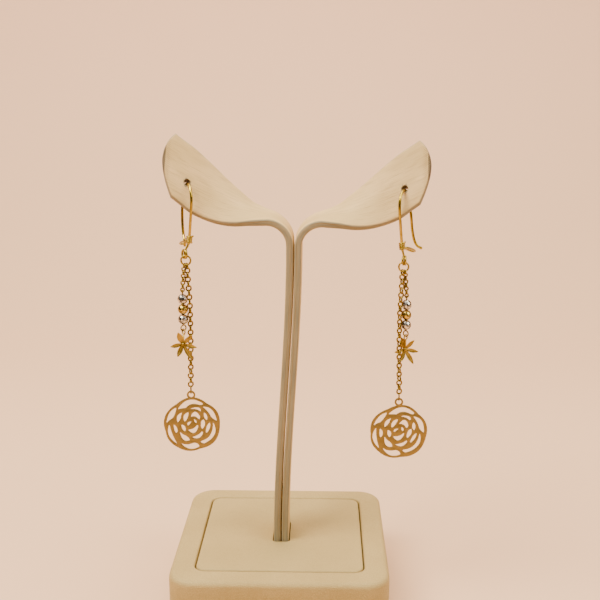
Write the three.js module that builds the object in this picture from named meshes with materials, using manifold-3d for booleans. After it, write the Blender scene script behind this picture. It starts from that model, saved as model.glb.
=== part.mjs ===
// A pair of dangle earrings hanging on a two-armed display stand.
// Millimetres, +Z up, +X to the viewer's right, +Y away from the viewer.
// The origin is the centre of the underside of the stand's base.
import * as THREE from "three";
import { mergeVertices } from "three/addons/utils/BufferGeometryUtils.js";
import Module from "manifold-3d";

// Base of the stand
const BASE_WIDTH = 60;
const BASE_DEPTH = 60;
const BASE_HEIGHT = 18;
const BASE_CORNER_RADIUS = 7;
const BASE_EDGE_RADIUS = 1.6;

// Panel let into the top of the base
const PANEL_WIDTH = 46;
const PANEL_DEPTH = 46;
const PANEL_THICKNESS = 2.4;
const PANEL_CORNER_RADIUS = 3;
const PANEL_GAP = 0.35;
const PANEL_SLOT_MARGIN = 0.5;

// Two bent arms that stand back to back in the base
const ARM_THICKNESS = 2;
const ARM_WIDTH = 12;
const ARM_GAP = 0.3;
const ARM_SOCKET_DEPTH = 14;
const ARM_SOCKET_CLEARANCE = 0.3;
const ARM_ROOT_OFFSET = -0.2;
const ARM_LEAN_SHIFT = 3.8;
const ARM_TILT = THREE.MathUtils.degToRad(1.5);
const SHOULDER_HEIGHT = 104.3;
const SHOULDER_RADIUS = 6.3;
const WING_REACH = 26;
const WING_RISE = 22.2;
const WING_END_BULGE = 3.5;
const HOLE_RADIUS = 0.95;
const HOLE_REACH = 22.25;
const HOLE_ACROSS = 0.39;

// Ear wires
const WIRE_RADIUS = 0.35;
const HOOK_BEND_RADIUS = 3.7;
const HOOK_HOLE_BACK = 5.1;
const HOOK_LEG_LENGTH = 15.9;
const HOOK_TURN = THREE.MathUtils.degToRad(22);
const COIL_LENGTH = 2.5;
const COIL_RADIUS = 0.88;
const COIL_WRAPS = 4;
const CATCH_LENGTH = 6.5;
const CATCH_HALF_WIDTH = 0.84;
const CATCH_WIRE_RADIUS = 0.3;
const EYE_RADIUS = 1.1;
const EYE_WIRE_RADIUS = 0.3;

// Jump rings
const RING_RADIUS = 1.3;
const RING_WIRE_RADIUS = 0.225;

// Cable chains
const LONG_LINK_LENGTH = 1.776;
const LONG_LINK_WIDTH = 1.45;
const LONG_LINK_WIRE_RADIUS = 0.16;
const LONG_CHAIN_LENGTH = 34.4;
const END_LINK_LENGTH = 2.5;
const FINE_LINK_LENGTH = 1.42;
const FINE_LINK_WIDTH = 1.12;
const FINE_LINK_WIRE_RADIUS = 0.14;
const FINE_CHAIN_LENGTH = 7.6;
const LINK_BITE = 0.35;

// Beads on their pin
const BEAD_RADIUS = 1.43;
const BEAD_HEIGHT = 2.7;
const BEAD_BORE_RADIUS = 0.32;
const BEAD_GAP = 0.13;
const PIN_RADIUS = 0.18;
const PIN_TOP_LOOP_RADIUS = 0.42;
const PIN_BOTTOM_LOOP_RADIUS = 0.8;

// Flower charm
const PETAL_LENGTH = 4.1;
const PETAL_WIDTH = 1.25;
const PETAL_THICKNESS = 0.5;
const PETAL_LIFT = 0.9;
const FLOWER_BUD_RADIUS = 0.55;
const CHARM_BAIL_RADIUS = 0.72;

// Pierced rose
const ROSE_RADIUS = 7.95;
const ROSE_THICKNESS = 0.5;
const BAIL_OUTER_RADIUS = 1.2;
const BAIL_INNER_RADIUS = 0.7;
const BAIL_RISE = 0.9;

// Hair's breadth between jewellery pieces that rest on each other
const JEWEL_GAP = 0.1;

// Facets narrower than this at the joints of a fused piece are smoothed away
const SLIVER = 0.015;

// Sections of a wing from its shoulder to its end. Out, front and back are shares of the wing's reach
// and rise, and depth is a share of half the arm's width.
const WING_SECTIONS = [
  { out: 0.175, front: -0.016, back: 0.155, depth: 1.0 },
  { out: 0.33, front: -0.04, back: 0.31, depth: 0.95 },
  { out: 0.48, front: -0.036, back: 0.477, depth: 0.83 },
  { out: 0.635, front: 0.005, back: 0.658, depth: 0.73 },
  { out: 0.79, front: 0.08, back: 0.824, depth: 0.68 },
  { out: 0.904, front: 0.18, back: 0.919, depth: 0.67 },
  { out: 1.0, front: 0.266, back: 1.0, depth: 0.67 },
];
const SHOULDER_TWIST = 1.3;

// Free end of each ear wire, past the bend over the hole. Back and drop are shares of the bend's width
// and of the leg's length, and aside is in millimetres.
const TAILS = {
  closed: [
    { back: 0.98, aside: 0.85, drop: 0.45 },
    { back: 0.93, aside: 0.98, drop: 0.72 },
    { back: 0.8, aside: 1.02, drop: 0.89 },
    { back: 0.67, aside: 1.0, drop: 0.965 },
    { back: 0.66, aside: 1.0, drop: 1.07 },
  ],
  open: [
    { back: 0.98, aside: 1.1, drop: 0.45 },
    { back: 1.0, aside: 1.5, drop: 0.7 },
    { back: 1.03, aside: 2.15, drop: 0.89 },
    { back: 1.07, aside: 2.9, drop: 0.975 },
    { back: 1.12, aside: 4.0, drop: 1.02 },
  ],
};

// Routes of the two strands below the jump ring. Along is a share of the strand's length, inward is
// towards the stand's post and front is towards the viewer, in millimetres.
const LONG_ROUTE = [
  { along: 0, inward: 0.3, front: 0 },
  { along: 0.08, inward: 0.36, front: -0.1 },
  { along: 0.25, inward: 0.68, front: -0.25 },
  { along: 0.5, inward: 0.74, front: -0.3 },
  { along: 1, inward: 0.35, front: -0.2 },
];
const FINE_ROUTE = [
  { along: 0, inward: -0.42, front: 0 },
  { along: 0.14, inward: -0.6, front: 0.42 },
  { along: 0.5, inward: -0.86, front: 0.5 },
  { along: 1, inward: -1.15, front: 0.55 },
];

// Petals round the charm's bud. Turn is in degrees from straight up, the others are shares.
const PETALS = [
  { turn: 20, length: 0.92, width: 1.35 },
  { turn: -43, length: 0.88, width: 1.0 },
  { turn: -103, length: 0.95, width: 0.9 },
  { turn: -151, length: 1.2, width: 1.05 },
  { turn: 155, length: 0.9, width: 1.1 },
  { turn: 97, length: 0.85, width: 0.95 },
];

// Chart of the pierced rose in hundredths of its radius. Each side of a gap runs from one corner to the
// next and bends through the point of the same place in the second list.
const ROSE_OUTLINE = {
  corners: [[-52, 77], [56, 79], [100, 2], [28, -90], [-52, -86], [-94, -27]],
  through: [[3, 102], [91, 49], [82, -60], [-12, -99], [-82, -61], [-95, 31]],
};
const ROSE_GAPS = [
  {
    corners: [[-48, 57], [40, 80], [28, 75], [-20, 63]],
    through: [[-8, 92], [37, 75], [0, 77], [-34, 61]],
  },
  { corners: [[40, 67], [89, 15], [69, 31]], through: [[72, 56], [77, 23], [58, 50]] },
  {
    corners: [[75, 10], [80, -34], [42, -70], [31, -62], [68, -34]],
    through: [[83, -13], [65, -55], [34, -68], [54, -51], [75, -12]],
  },
  { corners: [[-41, -70], [4, -69], [25, -81]], through: [[-19, -75], [17, -71], [-9, -91]] },
  { corners: [[-80, -1], [-54, -73]], through: [[-83, -40], [-70, -39]] },
  { corners: [[-54, 63], [-90, 5], [-70, 23]], through: [[-78, 42], [-82, 15], [-60, 41]] },
  { corners: [[-4, 58], [26, 64], [32, 50]], through: [[10, 64], [32, 58], [16, 58]] },
  { corners: [[-34, 45], [-50, 8], [-39, 26]], through: [[-51, 30], [-44, 17], [-38, 35]] },
  { corners: [[-65, 0], [-53, -16], [-57, -32]], through: [[-57, -7], [-53, -25], [-63, -18]] },
  { corners: [[45, 46], [54, 17]], through: [[54, 34], [45, 29]] },
  { corners: [[64, 9], [51, -31], [52, -14]], through: [[63, -11], [50, -22], [56, -2]] },
  { corners: [[-43, -27], [-22, -42], [-9, -58]], through: [[-34, -36], [-14, -49], [-31, -57]] },
  { corners: [[-1, -47], [36, -25], [38, -31]], through: [[20, -39], [38, -28], [23, -50]] },
  { corners: [[-11, 46], [-26, 11], [-15, 29]], through: [[-27, 33], [-19, 19], [-12, 38]] },
  { corners: [[-3, 29], [29, 32], [26, 20]], through: [[12, 48], [29, 26], [12, 31]] },
  { corners: [[42, 20], [36, -16], [33, 2]], through: [[46, 2], [33, -8], [35, 13]] },
  { corners: [[-37, 0], [-24, -9], [-25, -25]], through: [[-29, -3], [-23, -17], [-34, -16]] },
  { corners: [[-14, -19], [20, 0], [20, -12]], through: [[6, -14], [22, -6], [6, -31]] },
  { corners: [[-1, 12], [-14, -4]], through: [[-14, 7], [-8, 3]] },
  { corners: [[8, 21], [15, 6]], through: [[16, 14], [10, 12]] },
];
const ROSE_FACET = 1.3;
const BAIL_FACETS = 12;

// The two earrings: the side of the stand that each hangs on, and how it happened to hang. Turns are in
// degrees, and front is 1 where the beads hang in front of the long chain and -1 where they hang behind.
const EARRINGS = [
  {
    name: "left",
    side: -1,
    front: 1,
    tail: "closed",
    catchDrop: 1.7,
    catchAside: 0.3,
    neckOut: 0.95,
    charmBack: 1.75,
    charmDrop: 3.1,
    flowerTurn: 8,
    roseTurn: 0,
  },
  {
    name: "right",
    side: 1,
    front: -1,
    tail: "open",
    catchDrop: 1.9,
    catchAside: 1.1,
    neckOut: 0.45,
    charmBack: 2.1,
    charmDrop: 4,
    flowerTurn: 20,
    roseTurn: -11,
  },
];

const UP = new THREE.Vector3(0, 0, 1);
const wasm = await Module();
wasm.setup();

const fabric = new THREE.MeshStandardMaterial({ color: 0xe3d5b8, roughness: 0.85, metalness: 0 });
const gold = new THREE.MeshStandardMaterial({ color: 0xd9a441, roughness: 0.25, metalness: 1 });
const whiteGold = new THREE.MeshStandardMaterial({ color: 0xd8d4cc, roughness: 0.15, metalness: 1 });

/** The closed solid inside a geometry, turned right side out. */
function solid(geometry) {
  const bare = new THREE.BufferGeometry();
  bare.setAttribute("position", geometry.getAttribute("position"));
  bare.setIndex(geometry.getIndex());
  const merged = mergeVertices(bare, 1e-4);
  const triVerts = new Uint32Array(merged.index.array);
  const vertProperties = merged.attributes.position.array;
  const made = new wasm.Manifold(new wasm.Mesh({ numProp: 3, vertProperties, triVerts }));
  if (made.volume() > 0) return made;
  for (let i = 0; i < triVerts.length; i += 3)
    [triVerts[i + 1], triVerts[i + 2]] = [triVerts[i + 2], triVerts[i + 1]];
  return new wasm.Manifold(new wasm.Mesh({ numProp: 3, vertProperties, triVerts }));
}

/** One solid from several that overlap, without the slivers where they meet. */
function joined(solids) {
  return solids.reduce((whole, next) => whole.add(next)).simplify(SLIVER);
}

/** A named mesh from a solid. */
function piece(name, body, material) {
  const mesh = body.getMesh();
  const geometry = new THREE.BufferGeometry();
  geometry.setAttribute("position", new THREE.BufferAttribute(new Float32Array(mesh.vertProperties), 3));
  geometry.setIndex(new THREE.BufferAttribute(new Uint32Array(mesh.triVerts), 1));
  geometry.computeVertexNormals();
  const made = new THREE.Mesh(geometry, material.clone());
  made.name = name;
  return made;
}

/** Skin over a row of sections that have equally many points each, with flat ends unless it is a ring. */
function loft(sections, isRing = false) {
  const size = sections[0].length;
  const last = (sections.length - 1) * size;
  const index = [];
  for (let row = 0; row < (isRing ? last + size : last); row += size) {
    const beyond = (row + size) % (last + size);
    for (let i = 0; i < size; i++) {
      const next = (i + 1) % size;
      index.push(row + i, row + next, beyond + next);
      index.push(row + i, beyond + next, beyond + i);
    }
  }
  for (let i = 1; i + 1 < size && !isRing; i++) {
    index.push(0, i + 1, i);
    index.push(last, last + i, last + i + 1);
  }
  const geometry = new THREE.BufferGeometry().setFromPoints(sections.flat());
  geometry.setIndex(index);
  return geometry;
}

/** Round wire along an open path. */
function wire(points, radius, steps, sides = 6) {
  const section = Array.from({ length: sides }, (_, i) => {
    const angle = (i * 2 * Math.PI) / sides;
    return new THREE.Vector2(radius * Math.cos(angle), radius * Math.sin(angle));
  });
  const extrudePath = new THREE.CatmullRomCurve3(points, false, "centripetal");
  const along = { steps, bevelEnabled: false, extrudePath };
  return solid(new THREE.ExtrudeGeometry(new THREE.Shape(section), along));
}

/** Closed oval link in the XZ plane, flat where it bears on its neighbours above and below. */
function linkSolid(width, length, wireRadius, facets = 10, sides = 5) {
  const halfWidth = width / 2 - wireRadius;
  const halfLength = (length / 2 - wireRadius) / Math.cos(Math.PI / facets);
  const sections = Array.from({ length: facets }, (_, i) => {
    const angle = ((i + 0.5) * 2 * Math.PI) / facets;
    const centre = new THREE.Vector3(halfWidth * Math.sin(angle), 0, halfLength * Math.cos(angle));
    const outward = new THREE.Vector3(halfLength * Math.sin(angle), 0, halfWidth * Math.cos(angle));
    outward.normalize();
    return Array.from({ length: sides }, (_, k) => {
      const around = (k * 2 * Math.PI) / sides;
      const point = centre.clone().addScaledVector(outward, wireRadius * Math.cos(around));
      point.y += wireRadius * Math.sin(around);
      return point;
    });
  });
  return solid(loft(sections, true));
}

/** Moves a solid by a three.js matrix. */
function placed(body, matrix) {
  return body.transform(matrix.elements);
}

/** Matrix that stands a piece at a point, its own Z along up and its X turned round that axis. */
function standing(point, up, turn) {
  const z = up.clone().normalize();
  const x = new THREE.Vector3(0, 1, 0).cross(z).normalize().applyAxisAngle(z, turn);
  const y = z.clone().cross(x);
  return new THREE.Matrix4().makeBasis(x, y, z).setPosition(point);
}

function roundedRectangle(width, depth, radius) {
  const [x, y] = [width / 2, depth / 2];
  const shape = new THREE.Shape();
  shape.moveTo(-x + radius, -y);
  shape.lineTo(x - radius, -y);
  shape.absarc(x - radius, -y + radius, radius, -Math.PI / 2, 0);
  shape.lineTo(x, y - radius);
  shape.absarc(x - radius, y - radius, radius, 0, Math.PI / 2);
  shape.lineTo(-x + radius, y);
  shape.absarc(-x + radius, y - radius, radius, Math.PI / 2, Math.PI);
  shape.lineTo(-x, -y + radius);
  shape.absarc(-x + radius, -y + radius, radius, Math.PI, 1.5 * Math.PI);
  return shape;
}

/** Upright block with rounded corners, and rounded edges above and below where edge is given. */
function roundedBlock(width, depth, height, radius, edge = 0) {
  const geometry = new THREE.ExtrudeGeometry(roundedRectangle(width, depth, radius), {
    depth: height - 2 * edge,
    bevelEnabled: edge > 0,
    bevelThickness: edge,
    bevelSize: edge,
    bevelOffset: -edge,
    bevelSegments: 2,
    curveSegments: 4,
  });
  return geometry.translate(0, 0, edge);
}

const armsWidth = 2 * ARM_THICKNESS + ARM_GAP;
const panelUnderside = BASE_HEIGHT - PANEL_THICKNESS;
const armFoot = BASE_HEIGHT - ARM_SOCKET_DEPTH + ARM_SOCKET_CLEARANCE;

function slotCutter(margin, bottom) {
  const height = BASE_HEIGHT + BASE_EDGE_RADIUS - bottom;
  const box = new THREE.BoxGeometry(armsWidth + 2 * margin, ARM_WIDTH + 2 * margin, height);
  return solid(box.translate(ARM_ROOT_OFFSET, 0, bottom + height / 2));
}

function baseBlock() {
  const pocketFloor = panelUnderside - PANEL_GAP;
  const pocket = roundedBlock(
    PANEL_WIDTH + 2 * PANEL_GAP,
    PANEL_DEPTH + 2 * PANEL_GAP,
    BASE_HEIGHT,
    PANEL_CORNER_RADIUS + PANEL_GAP,
  ).translate(0, 0, pocketFloor);
  const block = roundedBlock(BASE_WIDTH, BASE_DEPTH, BASE_HEIGHT, BASE_CORNER_RADIUS, BASE_EDGE_RADIUS);
  const socket = slotCutter(ARM_SOCKET_CLEARANCE, BASE_HEIGHT - ARM_SOCKET_DEPTH);
  return piece("base_block", solid(block).subtract(solid(pocket)).subtract(socket), fabric);
}

function basePanel() {
  const panel = roundedBlock(PANEL_WIDTH, PANEL_DEPTH, PANEL_THICKNESS, PANEL_CORNER_RADIUS);
  const cut = solid(panel.translate(0, 0, panelUnderside)).subtract(slotCutter(PANEL_SLOT_MARGIN, 0));
  return piece("base_panel", cut, fabric);
}

/** Where a point of the stand's arms comes to lie, for arms that lean a little towards +X. */
function leaned(out, y, height) {
  const climb = THREE.MathUtils.smoothstep(height, BASE_HEIGHT, SHOULDER_HEIGHT);
  const turn = ARM_TILT * climb;
  const above = Math.max(height - SHOULDER_HEIGHT, 0);
  const x = ARM_ROOT_OFFSET + ARM_LEAN_SHIFT * climb + out * Math.cos(turn) + above * Math.sin(turn);
  return new THREE.Vector3(x, y, height - above * (1 - Math.cos(turn)) - out * Math.sin(turn));
}

const armOut = (ARM_GAP + ARM_THICKNESS) / 2;
const wingRoot = { out: armOut + SHOULDER_RADIUS, height: SHOULDER_HEIGHT + SHOULDER_RADIUS };

/** Front and back edge of an arm's middle surface at each of its sections, from foot to wing end. */
function armRulings() {
  const half = ARM_WIDTH / 2;
  const ruling = (out, front, back, depth) => ({
    front: new THREE.Vector3(out, -depth, front),
    back: new THREE.Vector3(out, depth, back),
  });
  const rows = [];
  const stemSteps = 10;
  for (let i = 0; i < stemSteps; i++) {
    const height = THREE.MathUtils.lerp(armFoot, SHOULDER_HEIGHT, i / stemSteps);
    rows.push(ruling(armOut, height, height, half));
  }
  const bendSteps = 8;
  for (let i = 0; i <= bendSteps; i++) {
    const angle = ((i / bendSteps) * Math.PI) / 2;
    const height = SHOULDER_HEIGHT + SHOULDER_RADIUS * Math.sin(angle);
    const out = wingRoot.out - SHOULDER_RADIUS * Math.cos(angle);
    rows.push(ruling(out, height, height + SHOULDER_TWIST * (i / bendSteps) ** 2, half));
  }
  const start = { out: 0, front: 0, back: SHOULDER_TWIST / WING_RISE, depth: 1 };
  const table = [start, ...WING_SECTIONS];
  const curve = (pick) => new THREE.SplineCurve(table.map((row) => new THREE.Vector2(row.out, pick(row))));
  const [front, back, depth] = [curve((r) => r.front), curve((r) => r.back), curve((r) => r.depth)];
  const wingSteps = 14;
  for (let i = 1; i <= wingSteps; i++) {
    const t = i / wingSteps;
    const out = wingRoot.out + WING_REACH * front.getPoint(t).x;
    const [low, high] = [front, back].map((c) => wingRoot.height + WING_RISE * c.getPoint(t).y);
    rows.push(ruling(out, low, high, half * depth.getPoint(t).y));
  }
  return [...rows, ...wingEnd(rows.at(-2), rows.at(-1))];
}

/** Shrinking rulings that round off the end of a wing. */
function wingEnd(before, last) {
  const centre = last.front.clone().add(last.back).multiplyScalar(0.5);
  const earlier = before.front.clone().add(before.back).multiplyScalar(0.5);
  const ahead = centre.clone().sub(earlier).normalize();
  return [0.25, 0.5, 0.75, 0.9, 0.98].map((share) => {
    const shrink = Math.sqrt(1 - share);
    const move = ahead.clone().multiplyScalar(WING_END_BULGE * share);
    return {
      front: centre.clone().lerp(last.front, shrink).add(move),
      back: centre.clone().lerp(last.back, shrink).add(move),
    };
  });
}

/** Normal of an arm's middle surface at one ruling, on the upper side of the wing. */
function rulingNormal(rows, i) {
  const middle = (row) => row.front.clone().add(row.back).multiplyScalar(0.5);
  const [before, after] = [rows[Math.max(i - 1, 0)], rows[Math.min(i + 1, rows.length - 1)]];
  const along = middle(after).sub(middle(before));
  const across = rows[i].back.clone().sub(rows[i].front);
  return along.cross(across).normalize();
}

const rulings = armRulings();

/** Middle of the hole in a wing and the wing's normal there, in the arm's own plane. */
function holePlace() {
  const reach = wingRoot.out + HOLE_REACH;
  const at = rulings.findIndex((row) => row.front.x > reach);
  const [a, b] = [rulings[at - 1], rulings[at]];
  const share = (reach - a.front.x) / (b.front.x - a.front.x);
  const front = a.front.clone().lerp(b.front, share);
  const back = a.back.clone().lerp(b.back, share);
  return { centre: front.lerp(back, HOLE_ACROSS), normal: rulingNormal(rulings, at) };
}

const hole = holePlace();

function armSolid(side) {
  const sections = rulings.map((row, i) => {
    const offset = rulingNormal(rulings, i).multiplyScalar(ARM_THICKNESS / 2);
    const corners = [
      row.front.clone().sub(offset),
      row.back.clone().sub(offset),
      row.back.clone().add(offset),
      row.front.clone().add(offset),
    ];
    return corners.map((p) => leaned(side * p.x, p.y, p.z));
  });
  return solid(loft(sections));
}

/** Bore through a wing, square to its face. */
function wingBore(side) {
  const bore = new THREE.CylinderGeometry(HOLE_RADIUS, HOLE_RADIUS, 4 * ARM_THICKNESS, 12);
  const direction = new THREE.Vector3(side * hole.normal.x, hole.normal.y, hole.normal.z);
  bore.applyQuaternion(new THREE.Quaternion().setFromUnitVectors(new THREE.Vector3(0, 1, 0), direction));
  const centre = leaned(side * hole.centre.x, hole.centre.y, hole.centre.z);
  return solid(bore.translate(centre.x, centre.y, centre.z));
}

function standArm(name, side) {
  return piece(name, armSolid(side).subtract(wingBore(side)), fabric);
}

/** Places points of an ear wire's own plane: back from its front leg, aside away from the stand, down. */
function hookFrame(earring) {
  const { side } = earring;
  const back = new THREE.Vector3(side * Math.sin(HOOK_TURN), Math.cos(HOOK_TURN), 0);
  const aside = new THREE.Vector3(side * Math.cos(HOOK_TURN), -Math.sin(HOOK_TURN), 0);
  const origin = leaned(side * hole.centre.x, hole.centre.y, hole.centre.z);
  const at = HOOK_HOLE_BACK - HOOK_BEND_RADIUS;
  const arcFall = HOOK_BEND_RADIUS - Math.sqrt(HOOK_BEND_RADIUS ** 2 - at ** 2);
  const rest = HOLE_RADIUS - WIRE_RADIUS - JEWEL_GAP;
  origin.addScaledVector(back, -HOOK_HOLE_BACK);
  origin.z += arcFall - rest * hole.normal.y ** 2;
  const point = (b, a, down) =>
    origin.clone().addScaledVector(back, b).addScaledVector(aside, a).addScaledVector(UP, -down);
  return { back, aside, point };
}

const LEG_BACK = 1;
const LEG_ASIDE = 0.8;

/** Front leg, bend over the hole, and tail. */
function hookPath(earring, { point }) {
  const radius = HOOK_BEND_RADIUS;
  const leg = [
    point(LEG_BACK, LEG_ASIDE, HOOK_LEG_LENGTH),
    point(0.75 * LEG_BACK, 0.72 * LEG_ASIDE, HOOK_LEG_LENGTH - COIL_LENGTH),
    point(0.2 * LEG_BACK, 0.3 * LEG_ASIDE, HOOK_LEG_LENGTH / 2),
  ];
  const bend = [0, 30, 60, 90, 120, 150, 180].map((degrees) => {
    const angle = THREE.MathUtils.degToRad(degrees);
    const aside = 0.5 * Math.max(0, -Math.cos(angle));
    return point(radius * (1 - Math.cos(angle)), aside, radius * (1 - Math.sin(angle)));
  });
  const tail = TAILS[earring.tail].map((row) =>
    point(2 * radius * row.back, row.aside, HOOK_LEG_LENGTH * row.drop),
  );
  return [...leg, ...bend, ...tail];
}

/** Wrapped wire round the foot of the front leg. */
function coilSolid({ point }) {
  const profile = [new THREE.Vector2(0, 0)];
  const pitch = COIL_LENGTH / COIL_WRAPS;
  for (let i = 0; i < COIL_WRAPS; i++) {
    profile.push(new THREE.Vector2(0.82 * COIL_RADIUS, i * pitch));
    profile.push(new THREE.Vector2(COIL_RADIUS, (i + 0.5) * pitch));
  }
  profile.push(new THREE.Vector2(0.82 * COIL_RADIUS, COIL_LENGTH));
  profile.push(new THREE.Vector2(0, COIL_LENGTH));
  const coil = new THREE.LatheGeometry(profile, 8).rotateX(Math.PI / 2);
  const foot = point(LEG_BACK, LEG_ASIDE, HOOK_LEG_LENGTH);
  const up = point(0.75 * LEG_BACK, 0.72 * LEG_ASIDE, HOOK_LEG_LENGTH - COIL_LENGTH).sub(foot);
  return placed(solid(coil), standing(foot, up, 0));
}

/** Hairpin catch that reaches back from the coil to hold the tail. */
function catchSolid(earring, { point }) {
  const nearDrop = HOOK_LEG_LENGTH - 0.3 * COIL_LENGTH;
  const strand = (share, width) =>
    point(
      LEG_BACK + CATCH_LENGTH * share,
      LEG_ASIDE + earring.catchAside * share + width * CATCH_HALF_WIDTH,
      nearDrop + earring.catchDrop * share ** 1.5,
    );
  const path = [
    strand(0, 0.2),
    strand(0.15, 0.85),
    strand(0.4, 1),
    strand(0.85, 1),
    strand(0.97, 0.6),
    strand(1, 0),
    strand(0.97, -0.6),
    strand(0.85, -1),
    strand(0.4, -1),
    strand(0.15, -0.85),
    strand(0, -0.2),
  ];
  return wire(path, CATCH_WIRE_RADIUS, 16, 5);
}

function earWire(earring, frame, eyeCentre) {
  const eye = new THREE.TorusGeometry(EYE_RADIUS, EYE_WIRE_RADIUS, 6, 12);
  eye.rotateX(Math.PI / 2).rotateZ(Math.atan2(frame.back.y, frame.back.x));
  eye.translate(eyeCentre.x, eyeCentre.y, eyeCentre.z);
  const top = eyeCentre.clone().addScaledVector(UP, EYE_RADIUS);
  const neck = [
    frame.point(LEG_BACK, LEG_ASIDE, HOOK_LEG_LENGTH - 0.3),
    frame.point(LEG_BACK, LEG_ASIDE, HOOK_LEG_LENGTH).lerp(top, 0.4),
    top,
  ];
  const parts = [
    wire(hookPath(earring, frame), WIRE_RADIUS, 28),
    coilSolid(frame),
    catchSolid(earring, frame),
    wire(neck, EYE_WIRE_RADIUS, 3),
    solid(eye),
  ];
  return piece(`ear_wire_${earring.name}`, joined(parts), gold);
}

function jumpRing(earring, centre) {
  const ring = new THREE.TorusGeometry(RING_RADIUS, RING_WIRE_RADIUS, 6, 14).rotateX(Math.PI / 2);
  ring.translate(centre.x, centre.y, centre.z);
  return piece(`jump_ring_${earring.name}`, solid(ring), gold);
}

/** Smooth curve through a strand's route, hung below a point of the jump ring's foot. */
function strandCurve(route, length, start, { side, front }) {
  const points = route.map(
    (row) =>
      new THREE.Vector3(
        start.x - side * row.inward,
        start.y - front * row.front,
        start.z - length * row.along,
      ),
  );
  return new THREE.CatmullRomCurve3(points, false, "centripetal");
}

/** Pitch of a chain's links, which bite a little into each other so that the chain is one solid. */
function linkPitch(length, wireRadius) {
  return length - 4 * wireRadius + 2 * LINK_BITE * wireRadius;
}

/** Links along a curve, the first one edge-on to the viewer and each next one a quarter turn on. */
function chainLinks(curve, count, pitch, link) {
  const length = curve.getLength();
  return Array.from({ length: count }, (_, i) => {
    const share = (i * pitch) / length;
    const up = curve.getTangentAt(share).negate();
    return placed(link, standing(curve.getPointAt(share), up, i % 2 ? 0 : Math.PI / 2));
  });
}

/** Height of a first link's centre above the lowest wire of the jump ring that it hangs on. */
function firstLinkDrop(length, wireRadius) {
  return length / 2 - wireRadius - (RING_WIRE_RADIUS + wireRadius + JEWEL_GAP);
}

/** Long strand down to the rose, with the point where its last link carries the rose's bail. */
function longChain(earring, ringCentre) {
  const radius = LONG_LINK_WIRE_RADIUS;
  const start = ringCentre.clone();
  start.z -= RING_RADIUS + firstLinkDrop(LONG_LINK_LENGTH, radius);
  const pitch = linkPitch(LONG_LINK_LENGTH, radius);
  const count = 2 * Math.round(LONG_CHAIN_LENGTH / pitch / 2);
  const curve = strandCurve(LONG_ROUTE, LONG_CHAIN_LENGTH * 1.06, start, earring);
  const link = linkSolid(LONG_LINK_WIDTH, LONG_LINK_LENGTH, radius);
  const links = chainLinks(curve, count, pitch, link);
  const lastCentre = curve.getPointAt(((count - 1) * pitch) / curve.getLength());
  const endCentre = lastCentre.clone();
  endCentre.z -= (pitch + linkPitch(END_LINK_LENGTH, radius)) / 2;
  const endLink = linkSolid(LONG_LINK_WIDTH, END_LINK_LENGTH, radius);
  links.push(placed(endLink, standing(endCentre, UP, Math.PI / 2)));
  const foot = endCentre.clone();
  foot.z -= END_LINK_LENGTH / 2 - radius;
  return { mesh: piece(`long_chain_${earring.name}`, joined(links), gold), foot };
}

/** Fine strand down to the beads, with the lowest wire of its last link. */
function beadChain(earring, ringCentre) {
  const radius = FINE_LINK_WIRE_RADIUS;
  const start = ringCentre.clone();
  start.z -= RING_RADIUS + firstLinkDrop(FINE_LINK_LENGTH, radius);
  const pitch = linkPitch(FINE_LINK_LENGTH, radius);
  const count = 2 * Math.round(FINE_CHAIN_LENGTH / pitch / 2);
  const curve = strandCurve(FINE_ROUTE, FINE_CHAIN_LENGTH * 1.08, start, earring);
  const link = linkSolid(FINE_LINK_WIDTH, FINE_LINK_LENGTH, radius);
  const links = chainLinks(curve, count, pitch, link);
  const last = ((count - 1) * pitch) / curve.getLength();
  const foot = curve.getPointAt(last);
  foot.addScaledVector(curve.getTangentAt(last), FINE_LINK_LENGTH / 2 - radius);
  return { mesh: piece(`bead_chain_${earring.name}`, joined(links), gold), foot };
}

/** Bored bead, wide at its waist, that stands on the origin. */
function beadSolid() {
  const steps = 5;
  const start = Math.acos((BEAD_BORE_RADIUS / BEAD_RADIUS) * 1.6);
  const profile = [];
  for (let i = 0; i <= steps; i++) {
    const angle = THREE.MathUtils.lerp(-start, start, i / steps);
    const height = BEAD_HEIGHT / 2 + ((BEAD_HEIGHT / 2) * Math.sin(angle)) / Math.sin(start);
    profile.push(new THREE.Vector2(BEAD_RADIUS * Math.cos(angle), height));
  }
  profile.push(new THREE.Vector2(BEAD_BORE_RADIUS, BEAD_HEIGHT));
  profile.push(new THREE.Vector2(BEAD_BORE_RADIUS, 0));
  profile.push(profile[0].clone());
  return solid(new THREE.LatheGeometry(profile, 10).rotateX(Math.PI / 2));
}

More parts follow.
